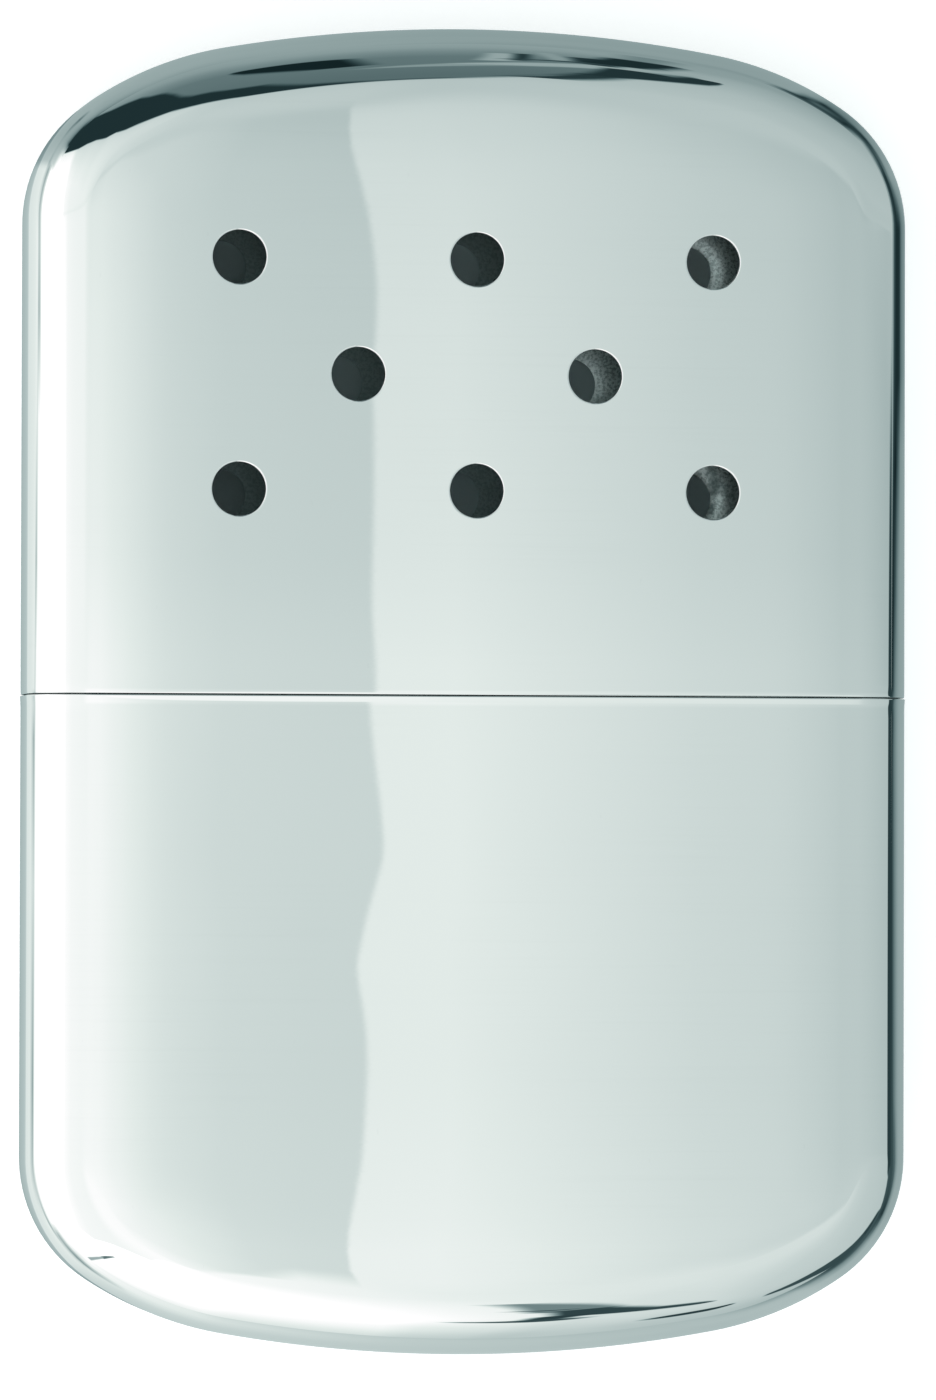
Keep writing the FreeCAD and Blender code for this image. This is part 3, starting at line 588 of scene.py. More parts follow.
def ventWalls(net, outer, inner, randomNumbers):
    # the rolled lip of each vent and its wall, down to the inner skin
    ring = [(outX, outY) for x, y, outX, outY in squareRing()]
    wall = case["ventRadius"]
    start = wall + case["ventRoll"]
    for side in (1, -1):
        for middleX, middleY, vented in fieldSquares():
            if not vented:
                continue
            rough = [randomNumbers.uniform(-1, 1) for i in range(4 * case["cells"])]
            rough.append(rough[0])
            rows = []
            for turn in (0, 20, 45, 70, 90):
                angle = radians(turn)
                radius = wall + case["ventRoll"] * (1 - sin(angle))
                sink = side * case["ventRoll"] * (1 - cos(angle))
                line = []
                for outX, outY in ring:
                    x, y, z = outer.face(middleX + outX * start, middleY + outY * start, side)
                    line.append((middleX + outX * radius, middleY + outY * radius, z - sink))
                rows.append(line)
            lip = [z for x, y, z in rows[-1]]
            for share in (0.4, 0.8, 1):
                line = []
                for (outX, outY), lipZ, burr in zip(ring, lip, rough):
                    radius = wall + (case["burr"] * burr if share == 0.8 else 0)
                    x, y, z = inner.face(middleX + outX * wall, middleY + outY * wall, side)
                    line.append((middleX + outX * radius, middleY + outY * radius, lipZ + (z - lipZ) * share))
                rows.append(line)
            gridFaces(net, rows, 0)


def rimLoop(sheet):
    # the whole open edge of a skin at the rim
    right, left = sheet.edgeColumn(0, 1), sheet.edgeColumn(0, -1)
    start = sheet.fieldHalf
    outward = [start + (right[0][0] - start) * share for share in (0.2, 0.4, 0.6, 0.8)]
    front = sheet.across + outward
    back = front[::-1] + [-x for x in outward]
    loop = [sheet.face(x, sheet.rim, 1) for x in front] + right
    loop += [sheet.face(x, sheet.rim, -1) for x in back] + left[::-1]
    loop += [sheet.face(-x, sheet.rim, 1) for x in reversed(outward)]
    return loop + loop[:1]


def linkObject(name, data, *materials):
    for material in materials:
        data.materials.append(material)
    made = bpy.data.objects.new(name, data)
    bpy.context.collection.objects.link(made)
    return made


def makeHalf(name, half):
    # a whole half case as one closed mesh
    net = {"points": [], "faces": [], "materials": []}
    outer = Sheet(half, 0.0)
    inner = Sheet(half, case["wall"])
    buildSheet(net, outer, 0)
    buildSheet(net, inner, 1)
    if half["vents"]:
        ventWalls(net, outer, inner, random.Random(half["seed"]))
    gridFaces(net, [rimLoop(outer), rimLoop(inner)], 1)
    mesh = bpy.data.meshes.new(name)
    points = [(x * mm, half["up"] * y * mm, z * mm) for x, y, z in net["points"]]
    mesh.from_pydata(points, [], net["faces"])
    mesh.polygons.foreach_set("material_index", net["materials"])
    shape = bmesh.new()
    shape.from_mesh(mesh)
    bmesh.ops.remove_doubles(shape, verts=shape.verts, dist=0.000002)
    bmesh.ops.recalc_face_normals(shape, faces=shape.faces)
    openEdges = sum(1 for e in shape.edges if len(e.link_faces) != 2)
    shape.to_mesh(mesh)
    shape.free()
    mesh.polygons.foreach_set("use_smooth", [True] * len(mesh.polygons))
    mesh.set_sharp_from_angle(angle=radians(50))
    print(name, "built:", len(mesh.polygons), "faces,", openEdges, "open edges")
    return linkObject(name, mesh, finish["chrome"], finish["bareMetal"])


lidHalf = {
    "rim": -0.385,
    "up": 1,
    "vents": True,
    "seed": 5,
    "rimTurn": (0.018, 0.62),  # how far the rim is drawn in, and from how far up
    # twist of the sheet by distance from the rim
    "sway": [(-1, 9), (1.6, 9), (3.9, 7.5), (6.1, 3.2), (8.4, 5), (15, 6), (19.6, 5.5), (21.8, 4),
        (24.5, 4.5), (27, 7.5), (30, 8.5), (33, 6), (36, 2.5), (37.5, 0.3), (39, -5.5), (40.5, -12.5),
        (42, -22.5), (43.5, -33), (45, -39), (50, -39)],
    # shallow dents: depth, middle x and y, reach along x and y
    "dents": [(0.03, 0, 50, 15, 11)],
    # vents of the back drawn outwards by the punch: depth, middle x and y, reach
    "draws": [(0.2, 17.8, 32.0, 1.5), (0.26, 17.8, 14.8, 1.7), (0.12, 8.9, 23.4, 1.4)],
}
tankHalf = {
    "rim": 0.465,
    "up": -1,
    "vents": False,
    "seed": 6,
    "rimTurn": (-0.046, 0.95),
    "sway": [(0, 2), (2.5, 4), (5.1, 8), (7.4, 11.5), (9.6, 17), (12.5, 17), (17, 0), (20.5, -11),
        (22, -8), (23.5, -3.5), (25.5, 0.5), (28, 2), (31, 1), (35, 0), (38, -4),
        (39.5, -8), (41, -17), (43, -30), (50, -30)],
    "dents": [(0.016, 0, 47, 14, 10)],
    "draws": [],
}

lidShell = makeHalf("lidShell", lidHalf)
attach(lidShell, "lid")
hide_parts("lid_shell")

tankShell = makeHalf("tankShell", tankHalf)
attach(tankShell, "tank")
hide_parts("tank_case")


def addObject(name, points, faces, material):
    mesh = bpy.data.meshes.new(name)
    mesh.from_pydata([(x * mm, y * mm, z * mm) for x, y, z in points], [], faces)
    return linkObject(name, mesh, material)


# the wire cloth of the burner

cloth = {
    "halfX": 13.27,  # middle of the cloth
    "halfZ": 4.07,
    "foot": 7.79,
    "top": 11.71,
    "pitch": 0.54,
    "wire": 0.053,
    "lean": 0.055,  # how far a wire goes over and under
    "sides": 6,
    "bend": 0.35,  # rounding between the wall and the top
    "steep": 48,  # degrees round an end up to which wires run down the wall
    "margin": 0.02,
}


def addWire(net, line, closed=False):
    # a round wire along a line of points
    sides = cloth["sides"]
    points = [Vector(point) for point in line]
    count = len(points)
    start = len(net["points"])
    side = None
    for i, point in enumerate(points):
        if closed:
            way = points[(i + 1) % count] - points[i - 1]
        else:
            way = points[min(i + 1, count - 1)] - points[max(i - 1, 0)]
        way.normalize()
        if side is None:
            side = way.orthogonal().normalized()
        side = (side - way * side.dot(way)).normalized()
        other = way.cross(side)
        for j in range(sides):
            turn = 2 * pi * j / sides
            out = side * cos(turn) + other * sin(turn)
            net["points"].append(tuple(point + out * cloth["wire"]))
    for i in range(count if closed else count - 1):
        for j in range(sides):
            here, there = start + i * sides, start + (i + 1) % count * sides
            k = (j + 1) % sides
            net["faces"].append((here + j, here + k, there + k, there + j))
    if not closed:
        net["faces"].append(tuple(start + j for j in reversed(range(sides))))
        net["faces"].append(tuple(start + (count - 1) * sides + j for j in range(sides)))


def hoodLine(reach, down, crossings, place):
    # one wire over the top, and up and down the wall where it meets it, as (across, height) points
    turn = cloth["bend"]
    climb = int((cloth["top"] - turn - cloth["foot"]) / cloth["pitch"]) + 1
    rows = [cloth["foot"] + cloth["margin"] + cloth["pitch"] * i for i in range(climb)]
    over = [value for value in crossings if abs(value) < reach - turn * 0.6]
    line = [(value, cloth["top"], 0, 1, (-1) ** (i + climb)) for i, value in enumerate(over)]
    if down:
        line = ([(-reach, y, -1, 0, (-1) ** i) for i, y in enumerate(rows)] + line
                + [(reach, y, 1, 0, (-1) ** (i + climb + len(over))) for i, y in enumerate(reversed(rows))])
    made = []
    for (a0, y0, outA, outY, up), following in zip(line, line[1:] + [None]):
        lean = up * place * cloth["lean"]
        made.append((a0 + outA * lean, y0 + outY * lean))
        if following:
            a1, y1, outA1 = following[:3]
            if outA == outA1:
                made.append(((a0 + a1) / 2, (y0 + y1) / 2))
            else:
                cornerA = (reach - turn * 0.3) * (1 if max(a0, a1) > 0 else -1)
                made.append((cornerA, cloth["top"] - turn * 0.3))
    return made


def wirePlaces(half):
    # even places over a width
    count = int(2 * (half - cloth["bend"]) / cloth["pitch"])
    return [(i - (count - 1) / 2) * cloth["pitch"] for i in range(count)]


def makeWireCloth():
    net = {"points": [], "faces": []}
    straight = cloth["halfX"] - cloth["halfZ"]
    placesX, placesZ = wirePlaces(cloth["halfX"]), wirePlaces(cloth["halfZ"])
    steep = cloth["halfZ"] * sin(radians(cloth["steep"]))
    for i, x in enumerate(placesX):
        beyond = max(0.0, abs(x) - straight)
        reach = sqrt(cloth["halfZ"] ** 2 - beyond ** 2)
        line = hoodLine(reach, beyond < steep, placesZ, (-1) ** i)
        if len(line) > 2:
            addWire(net, [(x, y, case["middle"] + a) for a, y in line])
    for i, z in enumerate(placesZ):
        reach = straight + sqrt(cloth["halfZ"] ** 2 - z ** 2)
        line = hoodLine(reach, abs(z) < steep, placesX, (-1) ** (i + 1))
        addWire(net, [(a, y, case["middle"] + z) for a, y in line])
    # the rings round the wall, over and under the upright wires
    around = 4 * straight + 2 * pi * cloth["halfZ"]
    steps = 2 * int(around / cloth["pitch"])
    steps += steps % 4 and 4 - steps % 4
    height = cloth["foot"] + cloth["wire"] + cloth["lean"] * 0.2
    ring = 0
    while height < cloth["top"] - cloth["bend"] * 0.8:
        line = []
        for i in range(steps):
            way = around * i / steps
            lean = (0, 1, 0, -1)[i % 4] * cloth["lean"] * (-1) ** ring
            x, z, outX, outZ = stadium(way, straight, cloth["halfZ"])
            line.append((x + outX * lean, height, case["middle"] + z + outZ * lean))
        addWire(net, line, True)
        height += cloth["pitch"]
        ring += 1
    return addObject("wireCloth", net["points"], net["faces"], finish["wireCloth"])


def stadium(way, straight, radius):
    # a point of an oblong with round ends and its outward direction
    half = 2 * straight + pi * radius
    side = 1 if way < half else -1
    way %= half
    if way < 2 * straight:
        return side * (way - straight), side * radius, 0.0, side
    turn = pi / 2 - (way - 2 * straight) / radius
    outX, outZ = side * cos(turn), side * sin(turn)
    return side * straight + radius * outX, radius * outZ, outX, outZ


wireCloth = makeWireCloth()
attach(wireCloth, "burner")
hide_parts("burner_mesh")
print("wire cloth built:", len(wireCloth.data.polygons), "faces")


# the soft fillings: catalyst mat, wick felt and cotton

halvings = 18  # tries to find where a ray leaves the space


def softForm(name, soft, low, high, inside, material):
    # a crowned lump that fills a space: rays from its middle stop where the space ends
    cells = soft["cells"]
    middle = [(a + b) / 2 for a, b in zip(low, high)]
    half = [(b - a) / 2 for a, b in zip(low, high)]
    shape = bmesh.new()
    bmesh.ops.create_cube(shape, size=2)
    bmesh.ops.subdivide_edges(shape, edges=shape.edges, cuts=cells, use_grid_fill=True)
    power = soft["power"]
    for vertex in shape.verts:
        u = vertex.co.copy()
        most = max(abs(c) for c in u)
        size = sum(abs(c) ** power for c in u) ** (1 / power)
        u *= most / size
        aim = Vector([m + h * c for m, h, c in zip(middle, half, u)])
        start = Vector(middle)
        share = 1.0
        if not inside(aim):
            few, many = 0.0, 1.0
            for i in range(halvings):
                share = (few + many) / 2
                if inside(start + (aim - start) * share):
                    few = share
                else:
                    many = share
        reach = start + (aim - start) * share
        lump = noise.fractal(reach * soft["lumpScale"] + Vector(soft["seed"]), 0.9, 2.1, 4)
        fold = abs(noise.noise(reach * soft["foldScale"] + Vector(soft["seed"])))
        sink = soft["lump"] * (0.5 + 0.5 * max(-1.0, min(1.0, lump)))
        sink += soft["fold"] * (1 - min(1.0, fold * 4)) ** 2
        vertex.co = reach - (reach - start).normalized() * sink
    bmesh.ops.recalc_face_normals(shape, faces=shape.faces)
    for vertex in shape.verts:
        vertex.co *= mm
    mesh = bpy.data.meshes.new(name)
    shape.to_mesh(mesh)
    shape.free()
    mesh.polygons.foreach_set("use_smooth", [True] * len(mesh.polygons))
    return linkObject(name, mesh, material)


def corners(node):
    low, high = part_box(node)
    return [c / mm for c in low], [c / mm for c in high]


def oblong(low, high, margin):
    # tells whether a point lies in the round-ended space between two corners
    radius = (high[2] - low[2]) / 2
    straight = (high[0] - low[0]) / 2 - radius

    def inside(point):
        past = max(0.0, abs(point.x) - straight)
        return hypot(past, point.z - case["middle"]) <= radius - margin
    return inside


mat = {"cells": 38, "power": 14, "lump": 0.16, "lumpScale": 0.9, "fold": 0.14, "foldScale": 0.35,
       "seed": (3, 7, 1)}
wick = {"cells": 34, "power": 20, "lump": 0.07, "lumpScale": 1.6, "fold": 0.02, "foldScale": 0.4,
        "seed": (1, 2, 9)}
wads = {"cells": 36, "power": 5.0, "lump": 0.9, "lumpScale": 0.22, "fold": 0.7, "foldScale": 0.12,
        "inset": 1.3}


def makeMat():
    low, high = corners("catalyst_mat")
    made = softForm("catalystMat", mat, low, high, oblong(low, high, 0.02), finish["glassFibre"])
    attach(made, "burner")
    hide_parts("catalyst_mat")


def makeWick():
    low, high = corners("wick_felt")
    made = softForm("wickFelt", wick, low, high, oblong(low, high, 0.02), finish["felt"])
    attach(made, "tank")
    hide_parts("wick_felt")


def inTank(point):
    depth = depthInside(point.x, -point.y)
    return depth > wads["inset"] and abs(point.z - case["middle"]) < faceHeight(depth, wads["inset"])


def makeWads():
    for number in range(1, 7):
        node = "cotton_wad_%d" % number
        soft = dict(wads, seed=(number * 3.7, number * 1.9, 5))
        low, high = corners(node)
        made = softForm("cottonWad%d" % number, soft, low, high, inTank, finish["cotton"])
        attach(made, "tank")
        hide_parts(node)


makeMat()
makeWick()
makeWads()
print("soft fillings made")


# the parts of the frame that stay get their finishes

def dress(names, material):
    for name in names:
        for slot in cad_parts[name].material_slots:
            slot.material = material


dress(["tank_cap", "filler_neck", "wick_grate"], finish["platedSteel"])
dress(["solder_ring"], finish["solder"])
dress(["burner_housing", "burner_socket", "burner_screen", "burner_rivets"], finish["burnerSteel"])


# floor, light and camera

studio = {
    "floorHalf": 2.0,
    "floorHeight": -0.05,
    "floorColour": (0.8, 0.8, 0.8),
    "floorLift": 0.56,
    "mirroredTint": (0.84, 0.93, 0.93),
    "shadeColour": (0.6, 0.8, 0.82),  # painted shade: the colour of the floor deep under the case
    "openReach": 0.1,
    "openSeen": (0.18, 0.42),  # share of open sky over which the lift sets in, seen directly
    "openMirrored": (0.6, 1.0),
    # the cool tint of the greys: share, power and what comes back above white
    "red": (0.94, 0.22, 0.4),
    "blue": (0.976, -0.038, 0.15),
    "neutralFrom": 0.2,  # and how far above white that goes on growing
    # brightness of the sky overhead by degrees from straight up, towards +X and then +Y
    "row": [(-50, 1.45), (-42, 1.2), (-30, 1.14), (-10, 1.12), (3, 1.12), (4.3, 1.11), (5.3, 1.04),
        (6, 0.97), (6.6, 0.885), (6.9, 0.835), (7.4, 0.81), (7.762, 0.8), (7.778, 1), (8.3, 1), (9, 0.92),
        (9.8, 0.83), (10.8, 0.765), (12.2, 0.705), (38, 0.675), (74, 0.62)],
    # its share by degrees north, which sets in over some degrees east and is given back further on
    "gain": [(-3, 1.06), (-1.2, 1), (1.3, 1), (2, 0.94), (3.5, 0.905), (4.5, 0.865), (5.2, 0.825),
        (5.9, 0.79)],
    "gainFrom": (-10, 3),
    "givenBack": [(7.5, 14, 0.07), (20, 50, 0.12)],
    "givenBackNorth": (3.5, 6),
    # the south: its border by degrees east, then its brightness
    "southBorder": [(-30, -38), (-10, -27), (-3, -21), (2, -12), (4, -8.5), (6, -5.5),
        (7.2, -4), (12, -4)],
    "southRow": [(-15, 1.7), (-4, 1.5), (2, 1.42), (4, 1.24), (6, 1.16), (8, 1.08), (9.5, 0.97),
        (11, 0.9), (17, 0.82), (24, 0.76), (40, 0.71), (80, 0.66)],
    "southEdge": (-0.4, 0.5),
    "southSlant": 0.09,
    "slantShift": 8,  # degrees by which it starts south of the middle
    "slantEnd": -50,
    "southEast": (8, 20),  # degrees east over which one share gives way to the other
    "southWestGain": [(-94, 0.6), (-82, 0.68), (-70, 0.78), (-62, 0.83), (-50, 0.95), (-44, 1)],
    "southEastGain": [(-90, 0.83), (-76, 0.85), (-60, 0.98), (-54, 1)],
    # the north: brightness by degrees north, and what its east loses near the border
    "northFrom": (5.6, 6.5),
    "north": [(6, 0.67), (16, 0.63), (36, 0.59), (52, 0.52), (64, 0.47), (72, 0.41), (90, 0.39)],
    "lost": 0.05,
    "lostEast": (15, 30),
    "lostNorth": (8, 16),
    # the dark cloth in the north-west: its lower border and its depth by degrees east, how soft
    # these are, and what is round it
    "clothBorder": [(-90, 60), (-70, 51), (-50, 44), (-40, 42), (-30, 38.5), (-20, 32.8),
        (-14, 31.5), (-6, 25.5), (0, 19.7), (6, 10.5), (8.5, 12)],
    "clothDepth": [(-24, 33), (-16, 27), (-10, 20), (-6, 14), (-3, 11.5), (2, 11.5), (4, 13),
        (6, 6.5), (7.5, 1)],
    "clothSoft": (0.8, 2, 0.3),  # of its lower, upper and east border
    "clothLevel": 0.035,
    "belowCloth": [(-56, 1.4), (-50, 1.17), (-40, 1.09), (-20, 1.06), (-10, 1.06), (0, 1.03), (4, 1),
        (6, 0.9), (8, 0.84)],
    "aboveCloth": [(20, 0.18), (44, 0.21), (58, 0.22), (70, 0.3), (80, 0.39), (92, 0.43)],
    "clothGain": [(-23, 1), (-15, 0.94), (-9, 0.87), (-4, 0.82), (0, 0.74)],
    "clothEast": [(10, 8), (24, 10), (32, 12), (42, 14.6), (53, 20), (70, 20)],
    "westFrom": (-2, 8),  # degrees north over which it sets in, west of the middle
    "westEnd": (-4, 4),
    # dark stands and edges: from, to, half widths, softness, brightness
    "bars": [
        (9, -14, 11.8, -33, 0.3, 1.4, 0.4, 0.28),
        (9.9, -29, 11, -30, 0.4, 0.6, 0.3, 0.08),
        (12, -33, 14, -43, 1, 1.9, 0.5, 0.07),
        (14, -43, 20, -51.5, 1.6, 0.8, 0.5, 0.07),
        (12.6, -43, 12, -50, 1.2, 0.8, 0.5, 0.06),
        (12, -50, 9.6, -50, 2.4, 1, 0.8, 0.08),
        (7.4, 38, 9.8, 42, 1.6, 1.4, 1, 0.37),
        (9.8, 42, 20, 60.5, 1.4, 1.6, 0.6, 0.46),
        (10.3, 50, 11.8, 66, 0.7, 0.6, 0.5, 0.45),
        (11.4, 52, 13.1, 67, 0.35, 0.45, 0.4, 0.05),
        (13.8, 57, 15, 72, 0.5, 0.5, 0.4, 0.37),
        (12.2, 33, 16, 49.5, 0.6, 1.5, 0.4, 0.04),
        (15.1, 54, 16.6, 66.5, 0.8, 1.2, 0.5, 0.05),
        (9.4, 18, 12.2, 33, 0.5, 0.7, 0.4, 0.05),
        (12, 32, 20.2, 54, 0.5, 1.3, 0.4, 0.04),
        (11.3, 54, 15.5, 57, 0.6, 1.2, 0.5, 0.07),
        (16.5, 59, 21, 73, 1.8, 2.4, 0.8, 0.03),
        (21.5, 76, 25.5, 88, 1.5, 2, 1.5, 0.27),
        (4.4, 45, 1, 60, 1.2, 3.4, 0.8, 0.02),
        (84, -1, 93, 2, 4, 4, 0.8, 0.05),
        (86, -1, 87, -8, 5, 5, 1.2, 0.05),
        (89, -12, 89, -38, 4, 4, 1.5, 0.1),
        (83, -40, 70, -53, 7, 7, 1.5, 0.06),
        (70, -53, 56, -62, 7, 7, 1.2, 0.08),
        (56, -62, 38.5, -66, 7, 2.2, 1, 0.08),
        (27, -66, 23.4, -68.6, 1.6, 2.8, 0.8, 0.05),
        (-14, -38, -23, -47, 0.1, 0.3, 0.5, 0.9),
        (-23, -47, -34, -58, 0.4, 1.2, 0.5, 0.2),
        (-34, -58, -52, -74, 1, 1.8, 0.8, 0.5),
    ],
}


def coolGrey(level):
    # a brightness as a colour: cool where it is dark, neutral above white
    under = level.mathNode("MINIMUM", level, 1.0)
    over = level.mathNode("MAXIMUM", level - 1.0, 0.0)
    over = level.mathNode("MINIMUM", over, studio["neutralFrom"])
    red, blue = [(under ** power * share + over * regained) * level
                 for share, power, regained in (studio["red"], studio["blue"])]
    return level.node("CombineColor", None, {0: red, 1: level, 2: blue})


def makeFloor():
    material, start = newMaterial("palePaper")
    path = start.node("LightPath")
    seen, mirrored, through = [Wire(start.tree, path.socket.node.outputs[name]) for name in
                               ("Is Camera Ray", "Is Glossy Ray", "Is Transmission Ray")]
    openSky = start.node("AmbientOcclusion", {"samples": 8},
                         {"Distance": studio["openReach"]}, "AO")
    # painted light and shade: the floor glows for camera, transmission and glossy rays, and the glow fades
    # where ambient occlusion finds it shut in, which paints the case's shadow on it and in its reflections
    direct = (seen + through) * openSky.rise(*studio["openSeen"])
    reflected = mirrored * openSky.rise(*studio["openMirrored"])
    # painted shade: the paper's own colour turns to the shade colour where ambient occlusion finds it shut in
    tone = openSky.rise(*studio["openSeen"]).blend(studio["shadeColour"], studio["floorColour"])
    paper = start.node("BsdfDiffuse", None, {"Color": tone})
    shade = start.node("CombineColor", None,
                       {i: reflected * share + direct for i, share in enumerate(studio["mirroredTint"])})
    glow = start.node("Emission", None, {"Color": shade, "Strength": studio["floorLift"]})
    both = start.node("AddShader", None, {0: paper, 1: glow})
    start.node("OutputMaterial", None, {"Surface": both})
    half = studio["floorHalf"] / mm
    low = studio["floorHeight"]
    addObject("studioFloor", [(-half, -half, low), (half, -half, low), (half, half, low),
                                       (-half, half, low)], [(0, 1, 2, 3)], material)


def makeSky():
    world = bpy.data.worlds.new("softStudio")
    bpy.context.scene.world = world
    world.use_nodes = True
    world.node_tree.nodes.clear()
    start = Wire(world.node_tree)
    direction = start.node("TexCoord", None, None, "Generated")
    x, y, z = direction.part("X"), direction.part("Y"), direction.part("Z")
    tilt = z.mathNode("ARCCOSINE", z) * degrees(1)
    spread = (x * x + y * y) ** 0.5
    east = x / spread * tilt
    north = y / spread * tilt
    plan = start.node("CombineXYZ", None, {0: east, 1: north})

    gain = east.rise(*studio["gainFrom"]).between(1.0, north.curve(studio["gain"]))
    near, far = [east.rise(low, high) * share for low, high, share in studio["givenBack"]]
    level = east.curve(studio["row"]) * gain * ((near + far) * north.rise(*studio["givenBackNorth"]) + 1)
    slant = north.mathNode("MAXIMUM", north, studio["slantEnd"]) + studio["slantShift"]
    near, far = [north.curve(studio[name]) for name in ("southWestGain", "southEastGain")]
    lowered = east.rise(*studio["southEast"]).between(near, far)
    south = (east + slant * studio["southSlant"]).curve(studio["southRow"]) * lowered
    isSouth = (east.curve(studio["southBorder"]) - north).rise(*studio["southEdge"])
    level = isSouth.between(level, south)
    lost = east.rise(*studio["lostEast"]) * (1 - north.rise(*studio["lostNorth"])) * studio["lost"]
    level = north.rise(*studio["northFrom"]).between(level, north.curve(studio["north"]) * (1 - lost))

    # the cloth and the grey over it end along a slanting line in the east
    beyond = north - east.curve(studio["clothBorder"])
    below = east.curve(studio["belowCloth"]) * beyond.curve(studio["clothGain"])
    lower, upper, side = studio["clothSoft"]
    draped = beyond.rise(-lower, lower).between(below, studio["clothLevel"])
    deep = beyond - east.curve(studio["clothDepth"])
    draped = deep.rise(-upper, upper).between(draped, north.curve(studio["aboveCloth"]))
    setsIn = east.rise(*studio["westEnd"]).between(
        north.rise(*studio["westFrom"]), north.rise(*studio["northFrom"]))
    isWest = (north.curve(studio["clothEast"]) - east).rise(-side, side) * setsIn
    level = isWest.between(level, draped)

    for fromX, fromY, toX, toY, wide, wider, soft, dark in studio["bars"]:
        first, last = Vector((fromX, fromY, 0)), Vector((toX, toY, 0))
        way = last - first
        share = start.node("VectorMath", {"operation": "DOT_PRODUCT"},
                           {0: plan - tuple(first), 1: tuple(way / way.length_squared)}, "Value")
        share = start.node("Clamp", None, {0: share})
        nearest = start.node("VectorMath", {"operation": "SCALE"}, {0: tuple(way), "Scale": share})
        off = start.node("VectorMath", {"operation": "LENGTH"},
                         {0: plan - tuple(first) - nearest}, "Value")
        inside = 1 - (off - share * (wider - wide) - wide).rise(-soft, soft)
        level = inside.between(level, dark)

    back = start.node("Background", None, {"Color": coolGrey(level)})
    start.node("OutputWorld", None, {"Surface": back})


reflectionCard = {
    "lift": 0.03,
    "step": 0.25,  # mm along the outline
    "steps": 368,  # enough for a quarter of it
    "contactShadeShare": 0.48,  # painted shade: share of the brightness of the first row of reaches, right at the case
    "reaches": (0, 2.3, 8.5, 15, 16.5, 19, 21, 26, 45, 90, 200, 1500, 12000),
}
# painted reflection: how bright the glowing sheet shows in the metal round the case
# degrees round from +X as seen from the middle, then the brightness in hundredths along the reaches
# from the second on, of which the last value holds on to the end
reflectionCardRows = [
    (-180, 88, 95, 100, 75, 110, 120, 125, 130),
    (-174, 88, 98, 45, 80, 120, 125, 130),
    (-156, 88, 98, 80, 95, 120, 125, 130),
    (-138, 88, 98, 38, 80, 120, 125, 130),
    (-133.5, 88, 98, 55, 80, 120, 125, 130),
    (-128.1, 88, 95, 105, 70, 50, 100, 125, 130),
    (-126.7, 88, 95, 102, 95, 70, 75, 55, 120, 130),
    (-125.7, 87, 94, 100, 95, 85, 75, 50, 115, 130),
    (-124.1, 85, 92, 98, 95, 88, 75, 35, 100, 120, 130),
    (-122.6, 74, 86, 92, 94, 96, 92, 42, 110, 120),
    (-118, 68, 76, 82, 84, 88, 90, 96, 106, 110),
    (-106, 68, 72, 75, 76, 78, 79, 82, 88, 90, 92),
    (-90, 66, 67, 68, 68, 69, 69, 70, 72, 74, 76),
    (-66, 56, 58, 59, 59, 60, 60, 61),
    (-58.5, 58, 60, 60, 60, 60, 60, 60, 57, 47, 40, 38),
    (-56, 50, 53, 53, 53, 52, 51, 44, 33, 12, 8),
    (-53, 50, 52, 52, 52, 52, 50, 46, 30, 12, 10),
    (-50.5, 46, 46, 46, 46, 46, 43, 36, 4, 6, 10),
    (-44, 46, 45, 45, 44, 44, 43, 40, 26, 12, 6, 5),
    (-5, 46, 45, 45, 44, 44, 43, 40, 30, 16, 6, 5),
    (3, 44, 43, 42, 42, 41, 40, 37, 28, 10, 5),
    (16.5, 42, 41, 40, 40, 38, 36, 30, 12, 3),
    (30, 42, 38, 34, 32, 25, 20, 12, 2, 3, 5, 6),
    (37, 42, 30, 20, 15, 8, 5, 3, 3, 5, 10, 15),
    (47, 42, 30, 20, 15, 8, 5, 3, 3, 10, 40, 60),
    (50.5, 42, 41, 40, 39, 37, 35, 24, 4, 5, 40, 55),
    (53.6, 36, 34, 31, 30, 26, 15, 3, 10, 40, 50, 55),
    (55.5, 34, 28, 24, 23, 18, 15, 7, 3, 4, 12, 50),
    (57.3, 34, 27, 20, 16, 10, 4, 3, 15, 7, 12, 50),
    (58.4, 40, 38, 35, 34, 30, 26, 18, 3, 4, 12, 45),
    (59.5, 42, 42, 41, 41, 41, 41, 41, 40, 6, 20, 42),
    (61, 41, 41, 41, 41, 41, 41, 41, 41, 36, 38, 40),
    (75, 39, 40, 40, 40, 40, 40, 41, 41, 39, 38),
    (90, 40, 41, 41, 41, 41, 41, 42, 42, 43),
    (115, 46, 47, 47, 47, 47, 47, 47, 46, 43, 40, 38),
    (120.5, 50, 50, 49, 49, 48, 48, 46, 44, 38, 31, 10),
    (122.6, 50, 50, 50, 50, 50, 49, 48, 45, 38, 28, 4),
    (123.9, 50, 50, 50, 40, 20, 20, 46, 43, 30, 6, 3),
    (124.9, 50, 50, 48, 33, 30, 40, 46, 40, 26, 4, 3),
    (126.1, 50, 50, 50, 46, 44, 46, 47, 42, 22, 4, 3),
    (127.5, 54, 56, 58, 56, 54, 56, 60, 65, 100, 120),
    (128.5, 60, 64, 68, 60, 50, 60, 75, 78, 120, 130),
    (129.1, 88, 95, 100, 95, 80, 70, 45, 130),
    (133.5, 88, 95, 100, 103, 105, 107, 60, 130),
    (138, 88, 95, 100, 103, 105, 105, 48, 130),
    (147, 88, 95, 100, 103, 105, 85, 120, 130),
    (163, 88, 95, 103, 95, 42, 80, 125, 130),
    (174, 88, 95, 103, 85, 90, 120, 125, 130),
    (180, 88, 95, 100, 75, 110, 120, 125, 130),
]


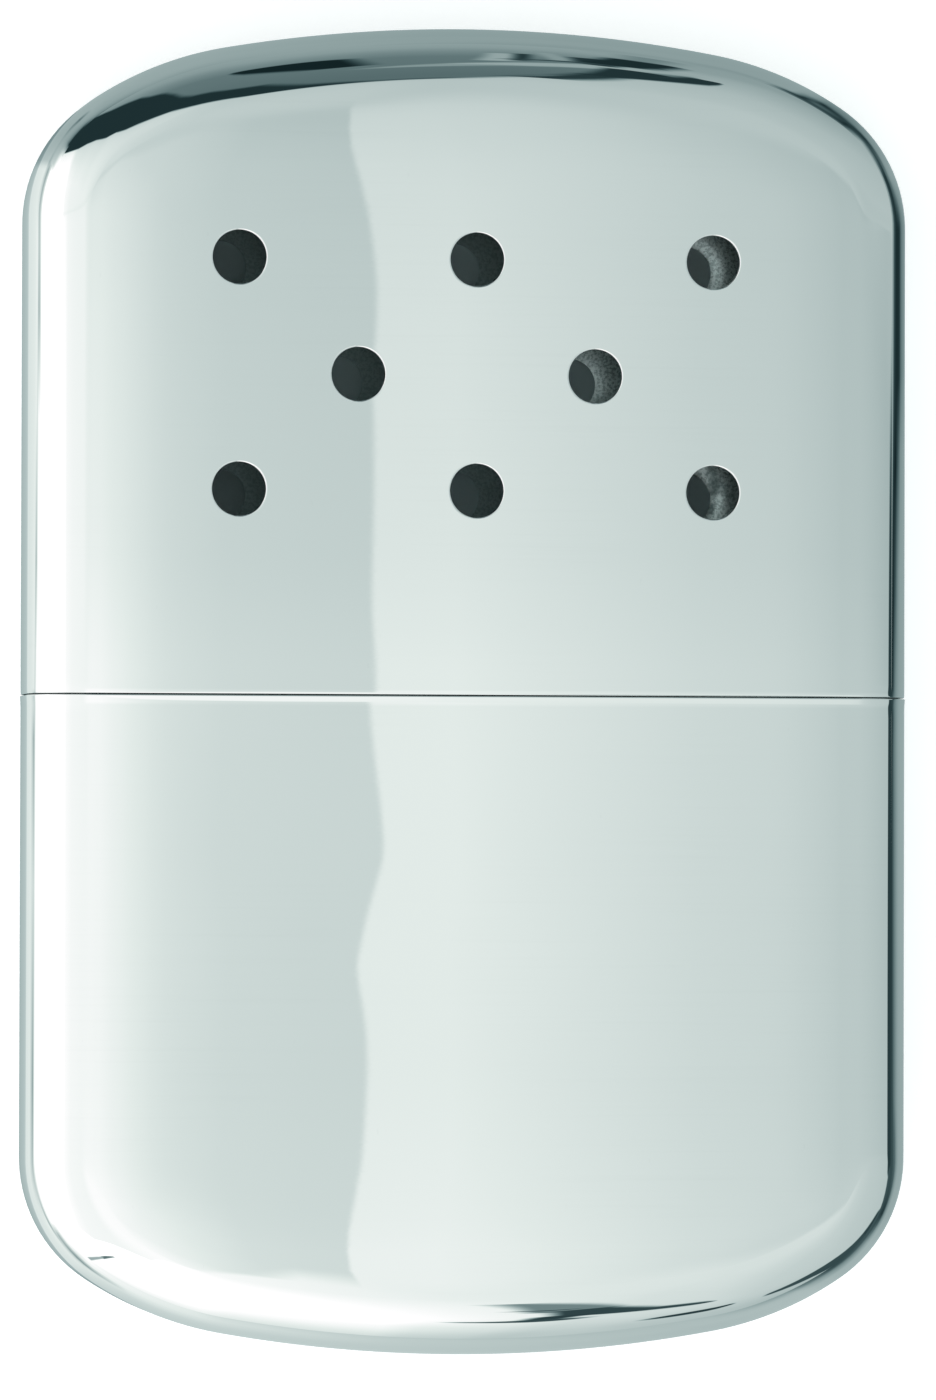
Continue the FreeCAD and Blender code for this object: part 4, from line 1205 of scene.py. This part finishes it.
def outlineRound():
    # points all round the case and their outward directions
    steps = range(reflectionCard["steps"])
    quarter = [point for point in (outlineRight(i * reflectionCard["step"], 0.0) for i in steps) if point[0] > 0]
    right = [(x, -y, outX, -outY) for x, y, outX, outY in reversed(quarter[1:])] + quarter
    made = right + [(-x, y, -outX, outY) for x, y, outX, outY in reversed(right)]
    return made + made[:1]


def reflectionCardLevels(turn):
    # the brightness along the reaches at one angle, between the two nearest rows
    count = len(reflectionCard["reaches"]) - 1
    for low, high in zip(reflectionCardRows, reflectionCardRows[1:]):
        if low[0] <= turn <= high[0]:
            share = (turn - low[0]) / (high[0] - low[0])
            first, last = [[level / 100 for level in row[1:] + row[-1:] * (count + 1 - len(row))]
                           for row in (low, high)]
            made = [a + (b - a) * share for a, b in zip(first, last)]
            return [made[0] * reflectionCard["contactShadeShare"]] + made


def makeReflectionCard():
    # a glowing sheet round the case that only the metal sees: a painted reflection of the floor, with painted
    # shade right at the case
    material, start = newMaterial("reflectionOnlyGlow")
    level = start.node("Attribute", {"attribute_name": "level"}, None, "Fac")
    # painted reflection: the sheet glows at its level and lights nothing
    glow = start.node("Emission", None, {"Color": coolGrey(level)})
    start.node("OutputMaterial", None, {"Surface": glow})
    line = outlineRound()
    columns = [reflectionCardLevels(degrees(atan2(y, x))) for x, y, outX, outY in line]
    net = {"points": [], "faces": [], "materials": []}
    values = []
    rows = []
    for i, reach in enumerate(reflectionCard["reaches"]):
        rows.append([(x + outX * reach, y + outY * reach, reflectionCard["lift"]) for x, y, outX, outY in line])
        values += [column[i] for column in columns]
    gridFaces(net, rows, 0)
    made = addObject("reflectionOnlyCard", net["points"], net["faces"], material)
    made.data.attributes.new("level", "FLOAT", "POINT").data.foreach_set("value", values)
    for sight in ("camera", "diffuse", "transmission", "shadow"):
        setattr(made, "visible_" + sight, False)


camera = {
    "target": (0.33, -0.63, 6.5),
    "distance": 700.0,
    "yaw": 8.39,
    "pitch": 1.11,
    "roll": 0.152,
    "lens": 240.1,
    "sensor": 36.0,
    "clip": (0.01, 20),
}


def makeCamera():
    data = bpy.data.cameras.new("tripodCamera")
    data.lens = camera["lens"]
    data.sensor_width = camera["sensor"]
    data.clip_start, data.clip_end = camera["clip"]
    made = linkObject("tripodCamera", data)
    yaw, pitch, roll = (radians(camera[name]) for name in ("yaw", "pitch", "roll"))
    turned = Matrix.Rotation(-yaw, 4, "Y") @ Matrix.Rotation(pitch, 4, "X") @ Matrix.Rotation(roll, 4, "Z")
    spot = (Vector(camera["target"]) + turned.col[2].xyz * camera["distance"]) * mm
    made.matrix_world = Matrix.Translation(spot) @ turned
    bpy.context.scene.camera = made


makeFloor()
makeSky()
makeReflectionCard()
makeCamera()
bpy.context.scene.view_settings.view_transform = "Standard"
print("stage set")
